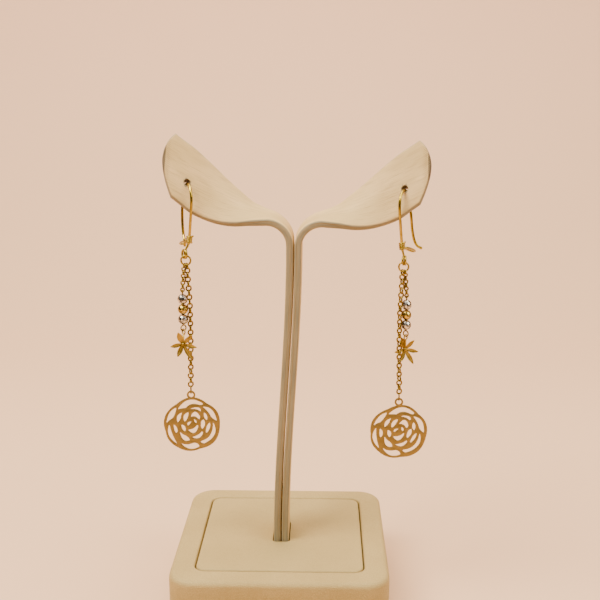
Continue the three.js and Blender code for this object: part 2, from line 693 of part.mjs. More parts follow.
/** Beads, the pin through them, and the loops that hang them on the chain and carry the charm. */
function beadString(earring, chainFoot) {
  const topLoop = chainFoot.clone();
  topLoop.z -= PIN_TOP_LOOP_RADIUS - PIN_RADIUS - FINE_LINK_WIRE_RADIUS - JEWEL_GAP;
  const pinTop = topLoop.z - PIN_TOP_LOOP_RADIUS;
  const rowTop = pinTop - PIN_RADIUS - BEAD_GAP;
  const names = ["bead_top", "bead_middle", "bead_bottom"];
  const meshes = names.map((name, i) => {
    const z = rowTop - (i + 1) * BEAD_HEIGHT - i * BEAD_GAP;
    const bead = placed(beadSolid(), new THREE.Matrix4().setPosition(topLoop.x, topLoop.y, z));
    return piece(`${name}_${earring.name}`, bead, name === "bead_middle" ? gold : whiteGold);
  });
  const rowFoot = rowTop - names.length * (BEAD_HEIGHT + BEAD_GAP);
  const bottomLoop = topLoop.clone();
  bottomLoop.z = rowFoot - PIN_RADIUS - PIN_BOTTOM_LOOP_RADIUS;
  const loop = (radius, facets) => {
    const outer = 2 * (radius + PIN_RADIUS);
    return linkSolid(outer, outer, PIN_RADIUS, facets);
  };
  const turn = -earring.side * THREE.MathUtils.degToRad(40);
  const pinFoot = bottomLoop.z + PIN_BOTTOM_LOOP_RADIUS;
  const rod = new THREE.CylinderGeometry(PIN_RADIUS, PIN_RADIUS, pinTop - pinFoot + PIN_RADIUS, 6);
  rod.rotateX(Math.PI / 2).translate(topLoop.x, topLoop.y, (pinTop + pinFoot) / 2);
  const pin = joined([
    solid(rod),
    placed(loop(PIN_TOP_LOOP_RADIUS, 10), standing(topLoop, UP, Math.PI / 2)),
    placed(loop(PIN_BOTTOM_LOOP_RADIUS, 12), standing(bottomLoop, UP, turn)),
  ]);
  meshes.push(piece(`bead_pin_${earring.name}`, pin, gold));
  return { meshes, bottomLoop, turn };
}

/** One petal from the origin along +Z, diamond-shaped across and curling towards the viewer. */
function petalSolid({ length, width }) {
  const reach = PETAL_LENGTH * length;
  const rows = [
    { along: 0, wide: 0.35 },
    { along: 0.45, wide: 1 },
    { along: 0.8, wide: 0.75 },
    { along: 1, wide: 0.2 },
  ];
  const sections = rows.map((row) => {
    const half = (PETAL_WIDTH * width * row.wide) / 2;
    const thick = (PETAL_THICKNESS / 2) * Math.max(row.wide, 0.5);
    const y = -PETAL_LIFT * row.along ** 2;
    const z = reach * row.along;
    return [
      new THREE.Vector3(-half, y, z),
      new THREE.Vector3(0, y - thick, z),
      new THREE.Vector3(half, y, z),
      new THREE.Vector3(0, y + thick, z),
    ];
  });
  return solid(loft(sections));
}

function flowerCharm(earring, { bottomLoop, turn }) {
  const bailTop = bottomLoop.clone();
  bailTop.z -= PIN_BOTTOM_LOOP_RADIUS - 2 * PIN_RADIUS - JEWEL_GAP;
  const bailCentre = bailTop.clone().addScaledVector(UP, -CHARM_BAIL_RADIUS);
  const centre = bailCentre.clone();
  centre.y -= earring.front * earring.charmBack;
  centre.z -= earring.charmDrop;
  const outer = 2 * (CHARM_BAIL_RADIUS + PIN_RADIUS);
  const bail = placed(linkSolid(outer, outer, PIN_RADIUS), standing(bailCentre, UP, turn + Math.PI / 2));
  const yaw = new THREE.Matrix4().makeRotationZ(THREE.MathUtils.degToRad(earring.flowerTurn));
  const petals = PETALS.map((row) => {
    const spin = new THREE.Matrix4().makeRotationY(THREE.MathUtils.degToRad(-row.turn));
    const place = new THREE.Matrix4().setPosition(centre).multiply(yaw).multiply(spin);
    return placed(petalSolid(row), place);
  });
  const bud = new THREE.SphereGeometry(FLOWER_BUD_RADIUS, 8, 6).translate(centre.x, centre.y, centre.z);
  const bailFoot = bailCentre.clone().addScaledVector(UP, -CHARM_BAIL_RADIUS);
  const stalk = wire([bailFoot, bailFoot.clone().lerp(centre, 0.5), centre], PIN_RADIUS * 1.4, 2);
  return piece(`flower_charm_${earring.name}`, joined([bail, stalk, solid(bud), ...petals]), gold);
}

/** Points round a loop of the chart, with the sides bent through their middle points. */
function chartLoop({ corners, through }) {
  const at = ([x, y]) => new THREE.Vector2(x, y).multiplyScalar(ROSE_RADIUS / 100);
  return corners.flatMap((corner, i) => {
    const [from, to] = [at(corner), at(corners[(i + 1) % corners.length])];
    const middle = from.clone().add(to).multiplyScalar(0.5);
    const control = at(through[i]).multiplyScalar(2).sub(middle);
    const side = new THREE.QuadraticBezierCurve(from, control, to);
    return side.getPoints(Math.max(1, Math.round(side.getLength() / ROSE_FACET))).slice(0, -1);
  });
}

/** Upright slab in the XZ plane with the outline of a loop of the chart. */
function chartSolid(loop, thickness) {
  const slab = new THREE.ExtrudeGeometry(new THREE.Shape(chartLoop(loop)), {
    depth: thickness,
    bevelEnabled: false,
  });
  return solid(slab.translate(0, 0, -thickness / 2).rotateX(Math.PI / 2));
}

/** Disc that stands upright in the XZ plane, as thick as the rose. */
function bailDisc(radius, thickness) {
  return new THREE.CylinderGeometry(radius, radius, thickness, BAIL_FACETS);
}

function rosePendant(earring, chainFoot) {
  const bailCentre = chainFoot.clone();
  bailCentre.z -= BAIL_INNER_RADIUS - LONG_LINK_WIRE_RADIUS - JEWEL_GAP;
  const place = new THREE.Matrix4()
    .makeTranslation(0, 0, -(ROSE_RADIUS + BAIL_RISE))
    .multiply(new THREE.Matrix4().makeRotationY(THREE.MathUtils.degToRad(-earring.roseTurn)));
  const gaps = joined(ROSE_GAPS.map((gap) => chartSolid(gap, 2 * ROSE_THICKNESS)));
  const plate = placed(chartSolid(ROSE_OUTLINE, ROSE_THICKNESS).subtract(gaps), place);
  const rim = solid(bailDisc(BAIL_OUTER_RADIUS, ROSE_THICKNESS));
  const bore = solid(bailDisc(BAIL_INNER_RADIUS, 2 * ROSE_THICKNESS));
  const pendant = plate.add(rim).subtract(bore);
  const hung = placed(pendant, new THREE.Matrix4().setPosition(bailCentre));
  return piece(`rose_pendant_${earring.name}`, hung, gold);
}

function earringMeshes(earring) {
  const frame = hookFrame(earring);
  const eyeCentre = frame.point(LEG_BACK, LEG_ASIDE + earring.neckOut, HOOK_LEG_LENGTH + 2.7);
  const ringCentre = eyeCentre.clone();
  ringCentre.z -= EYE_RADIUS + RING_RADIUS - EYE_WIRE_RADIUS - RING_WIRE_RADIUS - JEWEL_GAP;
  const long = longChain(earring, ringCentre);
  const fine = beadChain(earring, ringCentre);
  const beads = beadString(earring, fine.foot);
  return [
    earWire(earring, frame, eyeCentre),
    jumpRing(earring, ringCentre),
    long.mesh,
    fine.mesh,
    ...beads.meshes,
    flowerCharm(earring, beads),
    rosePendant(earring, long.foot),
  ];
}

const stand = new THREE.Group();
stand.add(baseBlock(), basePanel(), standArm("arm_left", -1), standArm("arm_right", 1));

const earrings = EARRINGS.map((earring) => {
  const group = new THREE.Group();
  group.add(...earringMeshes(earring));
  return group;
});

const display = new THREE.Group();
display.add(stand, ...earrings);
export default display;
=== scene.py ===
"""Looks of a pair of dangle earrings that hang on a display stand with two arms."""

import logging
import math
import random
from collections.abc import Callable, Sequence
from dataclasses import dataclass, field
from enum import Enum

import bmesh
import bpy
from mathutils import Matrix, Vector


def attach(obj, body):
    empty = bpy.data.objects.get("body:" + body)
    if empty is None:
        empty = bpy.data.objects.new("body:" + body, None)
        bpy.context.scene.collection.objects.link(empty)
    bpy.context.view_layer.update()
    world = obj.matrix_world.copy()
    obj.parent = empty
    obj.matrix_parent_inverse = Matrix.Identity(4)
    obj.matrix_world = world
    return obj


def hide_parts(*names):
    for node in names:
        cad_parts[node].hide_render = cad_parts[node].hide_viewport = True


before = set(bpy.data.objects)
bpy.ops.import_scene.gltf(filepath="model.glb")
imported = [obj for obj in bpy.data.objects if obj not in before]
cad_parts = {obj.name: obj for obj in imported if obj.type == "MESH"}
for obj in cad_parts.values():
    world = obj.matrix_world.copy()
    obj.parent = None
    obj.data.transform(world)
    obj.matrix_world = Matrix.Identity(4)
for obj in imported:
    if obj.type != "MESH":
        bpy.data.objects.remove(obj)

LOG = logging.getLogger("earrings")
MM = 0.001
UP = Vector((0.0, 0.0, 1.0))

# Sizes that the pieces of an earring share, in millimetres

RING_RADIUS = 1.3
RING_WIRE = 0.225
LONG_WIRE = 0.16
FINE_WIRE = 0.14
REST = 0.1


class Side(Enum):
    """The side of the stand that an arm and its earring are on."""

    LEFT = -1
    RIGHT = 1

    @property
    def word(self) -> str:
        """The side's name as it stands in node names."""
        return self.name.lower()


class Tail(Enum):
    """How an ear wire's free end stands to its catch."""

    CLOSED = "closed"
    OPEN = "open"


# Shader and node helpers


class Socket:
    """An output of a node, on which Python's operators add Math nodes."""

    def __init__(self, graph: "Graph", output: bpy.types.NodeSocket) -> None:
        """Wraps an output.

        Args:
            graph: The graph that the output's node is in.
            output: The output.
        """
        self.graph = graph
        self.output = output

    def __add__(self, other: "Socket | float") -> "Socket":
        """Sum."""
        return self.graph.math("ADD", self, other)

    def __radd__(self, other: float) -> "Socket":
        """Sum."""
        return self.graph.math("ADD", other, self)

    def __sub__(self, other: "Socket | float") -> "Socket":
        """Difference."""
        return self.graph.math("SUBTRACT", self, other)

    def __rsub__(self, other: float) -> "Socket":
        """Difference."""
        return self.graph.math("SUBTRACT", other, self)

    def __mul__(self, other: "Socket | float") -> "Socket":
        """Product."""
        return self.graph.math("MULTIPLY", self, other)

    def __mod__(self, other: float) -> "Socket":
        """Remainder."""
        return self.graph.math("FLOORED_MODULO", self, other)

    def size(self) -> "Socket":
        """Absolute value."""
        return self.graph.math("ABSOLUTE", self)

    def step(self, low: float, high: float) -> "Socket":
        """Smooth rise or fall between two values.

        Args:
            low: Where the result is 0.
            high: Where the result is 1, above low for a rise and below it for a fall.

        Returns:
            The result, from 0 to 1.
        """
        first, last = (0.0, 1.0) if low < high else (1.0, 0.0)
        values = {0: self, 1: min(low, high), 2: max(low, high), 3: first, 4: last}
        return self.graph.node("ShaderNodeMapRange", {"interpolation_type": "SMOOTHSTEP"}, values)


class Graph:
    """A node tree and the ways to add to it."""

    def __init__(self, tree: bpy.types.NodeTree) -> None:
        """Takes the tree to fill.

        Args:
            tree: The node tree.
        """
        self.tree = tree

    def node(
        self,
        kind: str,
        settings: dict[str, object] | None = None,
        inputs: dict[int | str, object] | None = None,
        output: int | str = 0,
    ) -> Socket:
        """Adds a node.

        Args:
            kind: The node's type.
            settings: Its properties, set before its sockets.
            inputs: Values or sockets for its inputs, by index or name.
            output: The output that is wanted, by index or name.

        Returns:
            The wanted output.
        """
        made = self.tree.nodes.new(kind)
        for key, value in (settings or {}).items():
            if key == "stops":
                self._fill_ramp(made, value)
            else:
                setattr(made, key, value)
        for key, value in (inputs or {}).items():
            if isinstance(value, Socket):
                self.tree.links.new(value.output, made.inputs[key])
            else:
                made.inputs[key].default_value = value
        return Socket(self, made.outputs[output] if len(made.outputs) else None)

    @staticmethod
    def _fill_ramp(made: bpy.types.Node, stops: Sequence[tuple[float, Sequence[float]]]) -> None:
        """Gives a ramp its stops.

        Args:
            made: The ramp node.
            stops: Places and colours.
        """
        ramp = made.color_ramp
        while len(ramp.elements) < len(stops):
            ramp.elements.new(0.5)
        for element, (place, colour) in zip(ramp.elements, stops):
            element.position = place
            element.color = (*colour, 1.0)

    def math(self, operation: str, *values: Socket | float) -> Socket:
        """A Math node on values or sockets."""
        return self.node("ShaderNodeMath", {"operation": operation}, dict(enumerate(values)))

    def vector(self, operation: str, *values: Socket | Sequence[float]) -> Socket:
        """A Vector Math node on vectors or sockets."""
        return self.node("ShaderNodeVectorMath", {"operation": operation}, dict(enumerate(values)))

    def mix(self, share: Socket | float, first: object, second: object) -> Socket:
        """Colour between first and second."""
        inputs = {0: share, 6: _rgba(first), 7: _rgba(second)}
        return self.node("ShaderNodeMix", {"data_type": "RGBA"}, inputs, output=2)

    def split(self, vector: Socket) -> tuple[Socket, Socket, Socket]:
        """Takes a vector apart.

        Args:
            vector: The vector.

        Returns:
            Its three components.
        """
        first = self.node("ShaderNodeSeparateXYZ", {}, {0: vector})
        outputs = first.output.node.outputs
        return first, Socket(self, outputs[1]), Socket(self, outputs[2])

    def join(self, x: Socket | float, y: Socket | float, z: Socket | float) -> Socket:
        """A vector from three components."""
        return self.node("ShaderNodeCombineXYZ", {}, {0: x, 1: y, 2: z})

    def object_place(self) -> Socket:
        """Object coordinates in millimetres."""
        place = self.node("ShaderNodeTexCoord", output="Object")
        return self.node("ShaderNodeMapping", {}, {0: place, 3: (1 / MM,) * 3})

    def attribute(self, name: str) -> Socket:
        """A vector that the mesh carries."""
        return self.node("ShaderNodeAttribute", {"attribute_name": name}, output="Vector")

    def noise(self, place: Socket, scale: float, detail: float = 3.0, roughness: float = 0.5) -> Socket:
        """Noise from 0 to 1."""
        inputs = {"Vector": place, "Scale": scale, "Detail": detail, "Roughness": roughness}
        return self.node("ShaderNodeTexNoise", {}, inputs)

    def cell_edges(self, place: Socket, scale: float) -> Socket:
        """Distance to the nearest edge between cells."""
        inputs = {"Vector": place, "Scale": scale}
        return self.node("ShaderNodeTexVoronoi", {"feature": "DISTANCE_TO_EDGE"}, inputs)

    def bump(self, height: Socket, depth: float) -> Socket:
        """Normal of a surface that rises by depth, in millimetres, where height is 1."""
        inputs = {"Strength": 1.0, "Distance": depth * MM, "Height": height}
        return self.node("ShaderNodeBump", {}, inputs)


def _rgba(colour: object) -> object:
    """A colour with its alpha, or the socket it already is."""
    return colour if isinstance(colour, Socket) else (*colour, 1.0)


def new_material(name: str, build: Callable[[Graph], dict[str, object]]) -> bpy.types.Material:
    """Makes a material around one Principled shader.

    Args:
        name: The material's name.
        build: Adds the nodes and returns values or sockets for the shader's inputs.

    Returns:
        The material.
    """
    material = bpy.data.materials.new(name)
    material.use_nodes = True
    material.node_tree.nodes.clear()
    graph = Graph(material.node_tree)
    inputs = build(graph)
    inputs["Base Color"] = _rgba(inputs["Base Color"])
    shader = graph.node("ShaderNodeBsdfPrincipled", {}, inputs)
    graph.node("ShaderNodeOutputMaterial", {}, {"Surface": shader})
    return material


# Finishes


@dataclass(frozen=True)
class Leatherette:
    """Cream leatherette drawn over a stiff core, its grain read from where the piece is."""

    name: str
    tone: tuple[float, float, float] = (0.43, 0.302, 0.103)
    shade: tuple[float, float, float] = (0.27, 0.19, 0.06)
    pale: tuple[float, float, float] = (0.48, 0.342, 0.124)
    roughness: float = 0.62
    pebble: float = 1.9
    depth: float = 0.09

    def material(self) -> bpy.types.Material:
        """Makes the finish."""
        return new_material(self.name, self._build)

    def _build(self, graph: Graph) -> dict[str, object]:
        """Adds pebbled grain, soft creases and worn patches.

        Args:
            graph: The material's graph.

        Returns:
            The shader's inputs.
        """
        place = graph.object_place()
        grain = graph.cell_edges(place, self.pebble).step(0.0, 0.28)
        fine = graph.noise(place, 6.0, 4.0)
        cloud = graph.noise(place, 0.07, 2.0)
        creases = graph.noise(graph.vector("MULTIPLY", place, (0.5, 0.5, 2.2)), 0.55, 3.0, 0.6)
        worn = cloud.step(0.35, 0.75)
        colour = graph.mix(worn, self.tone, self.pale)
        colour = graph.mix((1 - grain) * 0.3, colour, self.shade)
        colour = graph.mix(creases.step(0.6, 0.75) * 0.15, colour, self.shade)
        height = grain * 0.6 + fine * 0.25 + creases * 0.6
        return {
            "Base Color": colour,
            "Roughness": self.roughness + fine * 0.14 - grain * 0.08,
            "Specular IOR Level": 0.35,
            "Normal": graph.bump(height, self.depth),
        }


@dataclass(frozen=True)
class StripLeatherette:
    """Cream leatherette on a bent strip, with its grain drawn out along the strip.

    It reads the strip attribute: millimetres along the strip, 0 at the wing's end and negative towards
    the foot, millimetres across, and the share through, from -1 to 1. wing, hem and rim are ranges of
    the first.
    """

    name: str
    tone: tuple[float, float, float] = (0.55, 0.37, 0.135)
    shade: tuple[float, float, float] = (0.30, 0.18, 0.055)
    pale: tuple[float, float, float] = (0.68, 0.46, 0.19)
    # Colour of the narrow edge faces: partly their own darker tone and partly painted shade, tinted cool
    # against the floor's warm bounce light
    edge: tuple[float, float, float] = (0.108, 0.124, 0.098)
    # Colour of the dark rim round the wing's end: partly a seam, partly painted shade on the end's edge face
    seam: tuple[float, float, float] = (0.07, 0.05, 0.025)
    slant: float = 0.16
    rib_density: float = 4.4
    thread_density: float = 9.0
    wing: tuple[float, float] = (-46.0, -30.0)
    hem: tuple[float, float] = (-3.2, -1.2)
    rim: tuple[float, float] = (-0.9, -0.4)
    roughness: float = 0.58
    depth: float = 0.07

    def material(self) -> bpy.types.Material:
        """Makes the finish."""
        return new_material(self.name, self._build)

    def _build(self, graph: Graph) -> dict[str, object]:
        """Adds ribs along the wing, gathers with painted shade in their hollows, a dark rim at its end that
        is partly a seam and partly painted shade, and edges painted darker, partly their own tone and partly
        painted shade.

        Args:
            graph: The material's graph.

        Returns:
            The shader's inputs.
        """
        along, across, through = graph.split(graph.attribute("strip"))
        slanted = across + along * self.slant
        wander = graph.noise(graph.join(along * 0.25, across * 0.25, 0.0), 1.0, 2.0)
        rib_place = graph.join(along * 0.12, slanted * self.rib_density + wander * 1.6, through * 3.0)
        ribs = graph.noise(rib_place, 1.0, 3.0, 0.6)
        thread_place = graph.join(along * 0.7, slanted * self.thread_density, through)
        threads = graph.noise(thread_place, 1.0, 2.0)
        fine = graph.noise(graph.join(along, across, through), 5.0, 3.0)
        cloud = graph.noise(graph.join(along * 0.05, across * 0.12, 0.0), 1.0, 2.0)
        side_band = through.size().step(0.98, 0.8)
        streaks = graph.noise(graph.join(along * 0.12, 0.0, through * 2.4), 1.0, 3.0)
        seam = (through - 0.3).size().step(0.2, 0.05) * streaks.step(0.35, 0.55)
        at_end = along.step(*self.hem) * through.step(0.2, 0.7)
        gathers = graph.math("SINE", across * 11 + wander * 3) * at_end
        colour = graph.mix(cloud.step(0.35, 0.7), self.tone, self.pale)
        on_wing = 0.12 + along.step(*self.wing) * 0.88
        colour = graph.mix(ribs.step(0.5, 0.7) * on_wing * 0.52, colour, self.shade)
        colour = graph.mix(threads.step(0.55, 0.8) * 0.16, colour, self.shade)
        # The edge faces are painted darker: partly the strip's own darker edges, partly painted shade where
        # they look away from the lights.
        colour = graph.mix(side_band * (0.45 + streaks * 0.5), colour, self.edge)
        colour = graph.mix(side_band * seam * 0.6, colour, self.shade)
        # The gathers' hollows are painted darker: painted shade.
        colour = graph.mix(gathers.step(0.3, 0.9) * 0.5, colour, self.shade)
        # Dark rim round the wing's end: partly a seam, partly painted shade on the end's edge face.
        colour = graph.mix(along.step(*self.rim) * 0.85, colour, self.seam)
        height = 1 - ribs.step(0.45, 0.75) * 0.5 + threads * 0.3 + fine * 0.2 - side_band * seam - gathers
        return {
            "Base Color": colour,
            "Roughness": self.roughness + fine * 0.15,
            "Specular IOR Level": 0.35,
            "Normal": graph.bump(height, self.depth),
        }


@dataclass(frozen=True)
class Gold:
    """Gold coloured plating with faint brush lines, thin spots and handling haze."""

    name: str
    tone: tuple[float, float, float] = (0.60, 0.42, 0.05)
    deep: tuple[float, float, float] = (0.30, 0.19, 0.02)
    roughness: float = 0.22
    haze: float = 0.15
    dents: float = 0.02

    def material(self) -> bpy.types.Material:
        """Makes the finish."""
        return new_material(self.name, self._build)

    def _build(self, graph: Graph) -> dict[str, object]:
        """Adds tarnish in slow clouds, fine scratches and a hammered unevenness.

        Args:
            graph: The material's graph.

        Returns:
            The shader's inputs.
        """
        place = graph.object_place()
        cloud = graph.noise(place, 0.5, 3.0)
        specks = graph.noise(place, 7.0, 3.0)
        scratches = graph.noise(graph.vector("MULTIPLY", place, (9.0, 9.0, 1.2)), 1.0, 2.0)
        dents = graph.noise(place, 1.6, 2.0)
        colour = graph.mix(cloud.step(0.4, 0.75) * 0.6, self.tone, self.deep)
        colour = graph.mix(specks.step(0.6, 0.8) * 0.35, colour, self.deep)
        return {
            "Base Color": colour,
            "Metallic": 1.0,
            "Roughness": self.roughness + cloud * self.haze + scratches.step(0.55, 0.8) * 0.1,
            "Normal": graph.bump(dents + scratches * 0.15, self.dents),
        }


@dataclass(frozen=True)
class CutMetal:
    """Bright metal cut in small flat facets, each with a painted reflection of its own random darkness, and
    fine tool lines.
    """

    name: str
    tone: tuple[float, float, float] = (0.60, 0.54, 0.47)
    deep: tuple[float, float, float] = (0.08, 0.07, 0.06)
    roughness: float = 0.12

    def material(self) -> bpy.types.Material:
        """Makes the finish."""
        return new_material(self.name, self._build)

    def _build(self, graph: Graph) -> dict[str, object]:
        """Paints each facet its own darkness, a painted reflection, and adds tool lines.

        Args:
            graph: The material's graph.

        Returns:
            The shader's inputs.
        """
        place = graph.object_place()
        shade, tilt, _ = graph.split(graph.attribute("facet"))
        lines = graph.noise(graph.vector("MULTIPLY", place, (3.0, 3.0, 14.0)), 1.0, 2.0)
        # Painted reflection: each facet darkened by its own random share, standing for the dark and bright
        # surroundings that it mirrors.
        colour = graph.mix(shade.step(0.3, 0.75) * 0.95, self.tone, self.deep)
        return {
            "Base Color": colour,
            "Metallic": 1.0,
            "Roughness": self.roughness + tilt * 0.12 + lines.step(0.5, 0.8) * 0.08,
            "Normal": graph.bump(lines, 0.012),
        }


@dataclass(frozen=True)
class PalePaper:
    """Plain pale board under and behind the stand."""

    name: str = "pale_board"
    tone: tuple[float, float, float] = (0.84, 0.535, 0.345)
    # Darker colour of the floor: painted shade on the same board, fading out up the wall over floor_reach
    # millimetres.
    floor_shade: tuple[float, float, float] = (0.76, 0.485, 0.29)
    floor_reach: float = 220.0

    def material(self) -> bpy.types.Material:
        """Makes the finish."""
        return new_material(self.name, self._build)

    def _build(self, graph: Graph) -> dict[str, object]:
        """Adds a barely seen unevenness and paints shade on the floor, fading out up the wall.

        Args:
            graph: The material's graph.

        Returns:
            The shader's inputs.
        """
        place = graph.object_place()
        cloud = graph.noise(place, 0.02, 2.0)
        _, _, height = graph.split(place)
        deeper = tuple(0.97 * c for c in self.tone)
        colour = graph.mix(cloud, self.tone, deeper)
        # Painted shade on the floor, fading out up the wall.
        colour = graph.mix(1 - height.step(0.0, self.floor_reach), colour, self.floor_shade)
        return {"Base Color": colour, "Roughness": 0.9, "Specular IOR Level": 0.1}


# Mesh helpers, in millimetres

SHARP = 40.0
SAME_PLACE = 1e-7
CAP_RINGS = (0.35, 0.7, 0.92)
CAP_HEIGHT = 0.6


@dataclass
class Skin:
    """Points and faces of a mesh in the making."""

    points: list[Vector] = field(default_factory=list)
    faces: list[tuple[int, ...]] = field(default_factory=list)
    marks: list[Vector] = field(default_factory=list)

    def add(self, other: "Skin") -> "Skin":
        """Takes in another skin's points and faces.

        Args:
            other: The other skin.

        Returns:
            This skin.
        """
        start = len(self.points)
        self.points.extend(other.points)
        self.marks.extend(other.marks)
        self.faces.extend(tuple(start + i for i in face) for face in other.faces)
        return self

    def moved(self, matrix: Matrix) -> "Skin":
        """A copy placed by a matrix."""
        return Skin([matrix @ p for p in self.points], list(self.faces), list(self.marks))


def ring_skin(rings: Sequence[Sequence[Vector]], closed: bool = False) -> Skin:
    """Lofts through rings of equally many points.

    Args:
        rings: The rings in order.
        closed: Whether the last ring joins the first, instead of both being capped.

    Returns:
        The skin.
    """
    size = len(rings[0])
    skin = Skin([p.copy() for ring in rings for p in ring])
    rows = len(rings) if closed else len(rings) - 1
    for row in range(rows):
        here, there = row * size, ((row + 1) % len(rings)) * size
        for i in range(size):
            after = (i + 1) % size
            skin.faces.append((here + i, here + after, there + after, there + i))
    if not closed:
        skin.faces.append(tuple(reversed(range(size))))
        skin.faces.append(tuple(range(len(skin.points) - size, len(skin.points))))
    return skin


def make_object(name: str, skin: Skin, mark: str = "", sharp: float = SHARP) -> bpy.types.Object:
    """Makes an object of a skin, with its faces outwards.

    Args:
        name: The object's name.
        skin: The skin, in millimetres.
        mark: Name of the vector attribute for the skin's marks, if it has them.
        sharp: Angle in degrees from which an edge looks sharp.

    Returns:
        The object.
    """
    mesh = bpy.data.meshes.new(name)
    mesh.from_pydata([p * MM for p in skin.points], [], skin.faces)
    if mark:
        layer = mesh.attributes.new(mark, "FLOAT_VECTOR", "POINT")
        for item, value in zip(layer.data, skin.marks):
            item.vector = value
    made = bpy.data.objects.new(name, mesh)
    bpy.context.scene.collection.objects.link(made)
    finish_mesh(made, sharp)
    return made


def finish_mesh(made: bpy.types.Object, sharp: float = SHARP) -> None:
    """Merges doubles, turns the faces outwards and shades them smooth up to a sharp angle.

    Args:
        made: The object whose mesh it is.
        sharp: Angle in degrees from which an edge looks sharp.
    """
    work = bmesh.new()
    work.from_mesh(made.data)
    bmesh.ops.remove_doubles(work, verts=work.verts, dist=SAME_PLACE)
    bmesh.ops.recalc_face_normals(work, faces=work.faces)
    work.to_mesh(made.data)
    work.free()
    made.data.polygons.foreach_set("use_smooth", [True] * len(made.data.polygons))
    made.data.set_sharp_from_angle(angle=math.radians(sharp))


def cut(made: bpy.types.Object, tool: bpy.types.Object, operation: str = "DIFFERENCE") -> None:
    """Cuts an object by a tool, or joins the tool to it, and removes the tool.

    Args:
        made: The object to change.
        tool: The tool.
        operation: DIFFERENCE or UNION.
    """
    modifier = made.modifiers.new("cut", "BOOLEAN")
    modifier.operation = operation
    modifier.solver = "EXACT"
    modifier.material_mode = "TRANSFER"
    modifier.object = tool
    graph = bpy.context.evaluated_depsgraph_get()
    mesh = bpy.data.meshes.new_from_object(made.evaluated_get(graph))
    made.modifiers.remove(modifier)
    made.data = mesh
    bpy.data.objects.remove(tool)
    mesh.set_sharp_from_angle(angle=math.radians(SHARP))


def smooth_path(points: Sequence[Vector], count: int) -> list[Vector]:
    """Centripetal curve through points, at equal steps of its own parameter.

    Args:
        points: The points.
        count: How many steps.

    Returns:
        The curve's points.
    """
    path = []
    shortest = 1e-4
    last = len(points) - 1
    for i in range(count + 1):
        place = last * i / count
        at = min(int(place), last - 1)
        share = place - at
        first, second = points[at], points[at + 1]
        before = points[at - 1] if at > 0 else 2 * points[0] - points[1]
        after = points[at + 2] if at + 2 <= last else 2 * points[last] - points[last - 1]
        spans = (first - before, second - first, after - second)
        gaps = [max(span.length_squared**0.25, shortest) for span in spans]
        leave = spans[0] / gaps[0] - (second - before) / (gaps[0] + gaps[1]) + spans[1] / gaps[1]
        reach = spans[1] / gaps[1] - (after - first) / (gaps[1] + gaps[2]) + spans[2] / gaps[2]
        leave, reach = leave * gaps[1], reach * gaps[1]
        square = 3 * (second - first) - 2 * leave - reach
        cube = 2 * (first - second) + leave + reach
        path.append(first + leave * share + square * share**2 + cube * share**3)
    return path


def even_path(path: Sequence[Vector], step: float, count: int) -> tuple[list[Vector], list[Vector]]:
    """Walks along a path in equal steps.

    Args:
        path: A dense path.
        step: Length of a step.
        count: How many places are wanted.

    Returns:
        The places, and the path's direction at each.
    """
    places, ways = [], []
    done, index = 0.0, 0
    for i in range(count):
        target = i * step
        while index + 2 < len(path) and done + (path[index + 1] - path[index]).length < target:
            done += (path[index + 1] - path[index]).length
            index += 1
        way = (path[index + 1] - path[index]).normalized()
        places.append(path[index] + way * (target - done))
        ways.append(way)
    return places, ways


def wire_skin(path: Sequence[Vector], radius: float, sides: int = 14, closed: bool = False) -> Skin:
    """Round wire along a path, with rounded ends where it is open.

    Args:
        path: The path's points.
        radius: The wire's radius.
        sides: Facets round the wire.
        closed: Whether the path is a ring.

    Returns:
        The skin.
    """
    count = len(path)
    ways = []
    for i in range(count):
        before = path[i - 1] if closed or i else path[0]
        after = path[(i + 1) % count] if closed or i + 1 < count else path[-1]
        ways.append((after - before).normalized())
    across = ways[0].orthogonal().normalized()
    turns, rings = [], []
    for i, way in enumerate(ways):
        if i:
            across = ways[i - 1].rotation_difference(way) @ across
            across = (across - way * across.dot(way)).normalized()
        side = way.cross(across)
        turns.append(across.copy())
        rings.append([_round_point(path[i], across, side, radius, k / sides) for k in range(sides)])
    if closed:
        return ring_skin(_untwisted(rings), closed=True)
    ends = []
    for at, sign in ((0, -1.0), (count - 1, 1.0)):
        side = ways[at].cross(turns[at])
        caps = []
        for share in CAP_RINGS:
            centre = path[at] + ways[at] * sign * radius * CAP_HEIGHT * share
            small = radius * math.sqrt(1 - share**2)
            caps.append([_round_point(centre, turns[at], side, small, k / sides) for k in range(sides)])
        ends.append(caps)
    return ring_skin(list(reversed(ends[0])) + rings + ends[1])


def _round_point(centre: Vector, across: Vector, side: Vector, radius: float, share: float) -> Vector:
    """A point of a circle, a share of the way round."""
    angle = 2 * math.pi * share
    return centre + across * radius * math.cos(angle) + side * radius * math.sin(angle)


def _untwisted(rings: list[list[Vector]]) -> list[list[Vector]]:
    """Turns the rings of a closed wire so that the last one meets the first without a twist.

    Args:
        rings: The rings in order.

    Returns:
        The rings, each starting at another of its points.
    """
    size = len(rings[0])
    gaps = []
    for k in range(size):
        gaps.append(sum((rings[-1][(i + k) % size] - rings[0][i]).length for i in range(size)))
    offset = gaps.index(min(gaps))
    offset -= size if offset > size / 2 else 0
    count = len(rings)
    turned = []
    for i, ring in enumerate(rings):
        shift = round(offset * i / (count - 1))
        turned.append([ring[(k + shift) % size] for k in range(size)])
    return turned


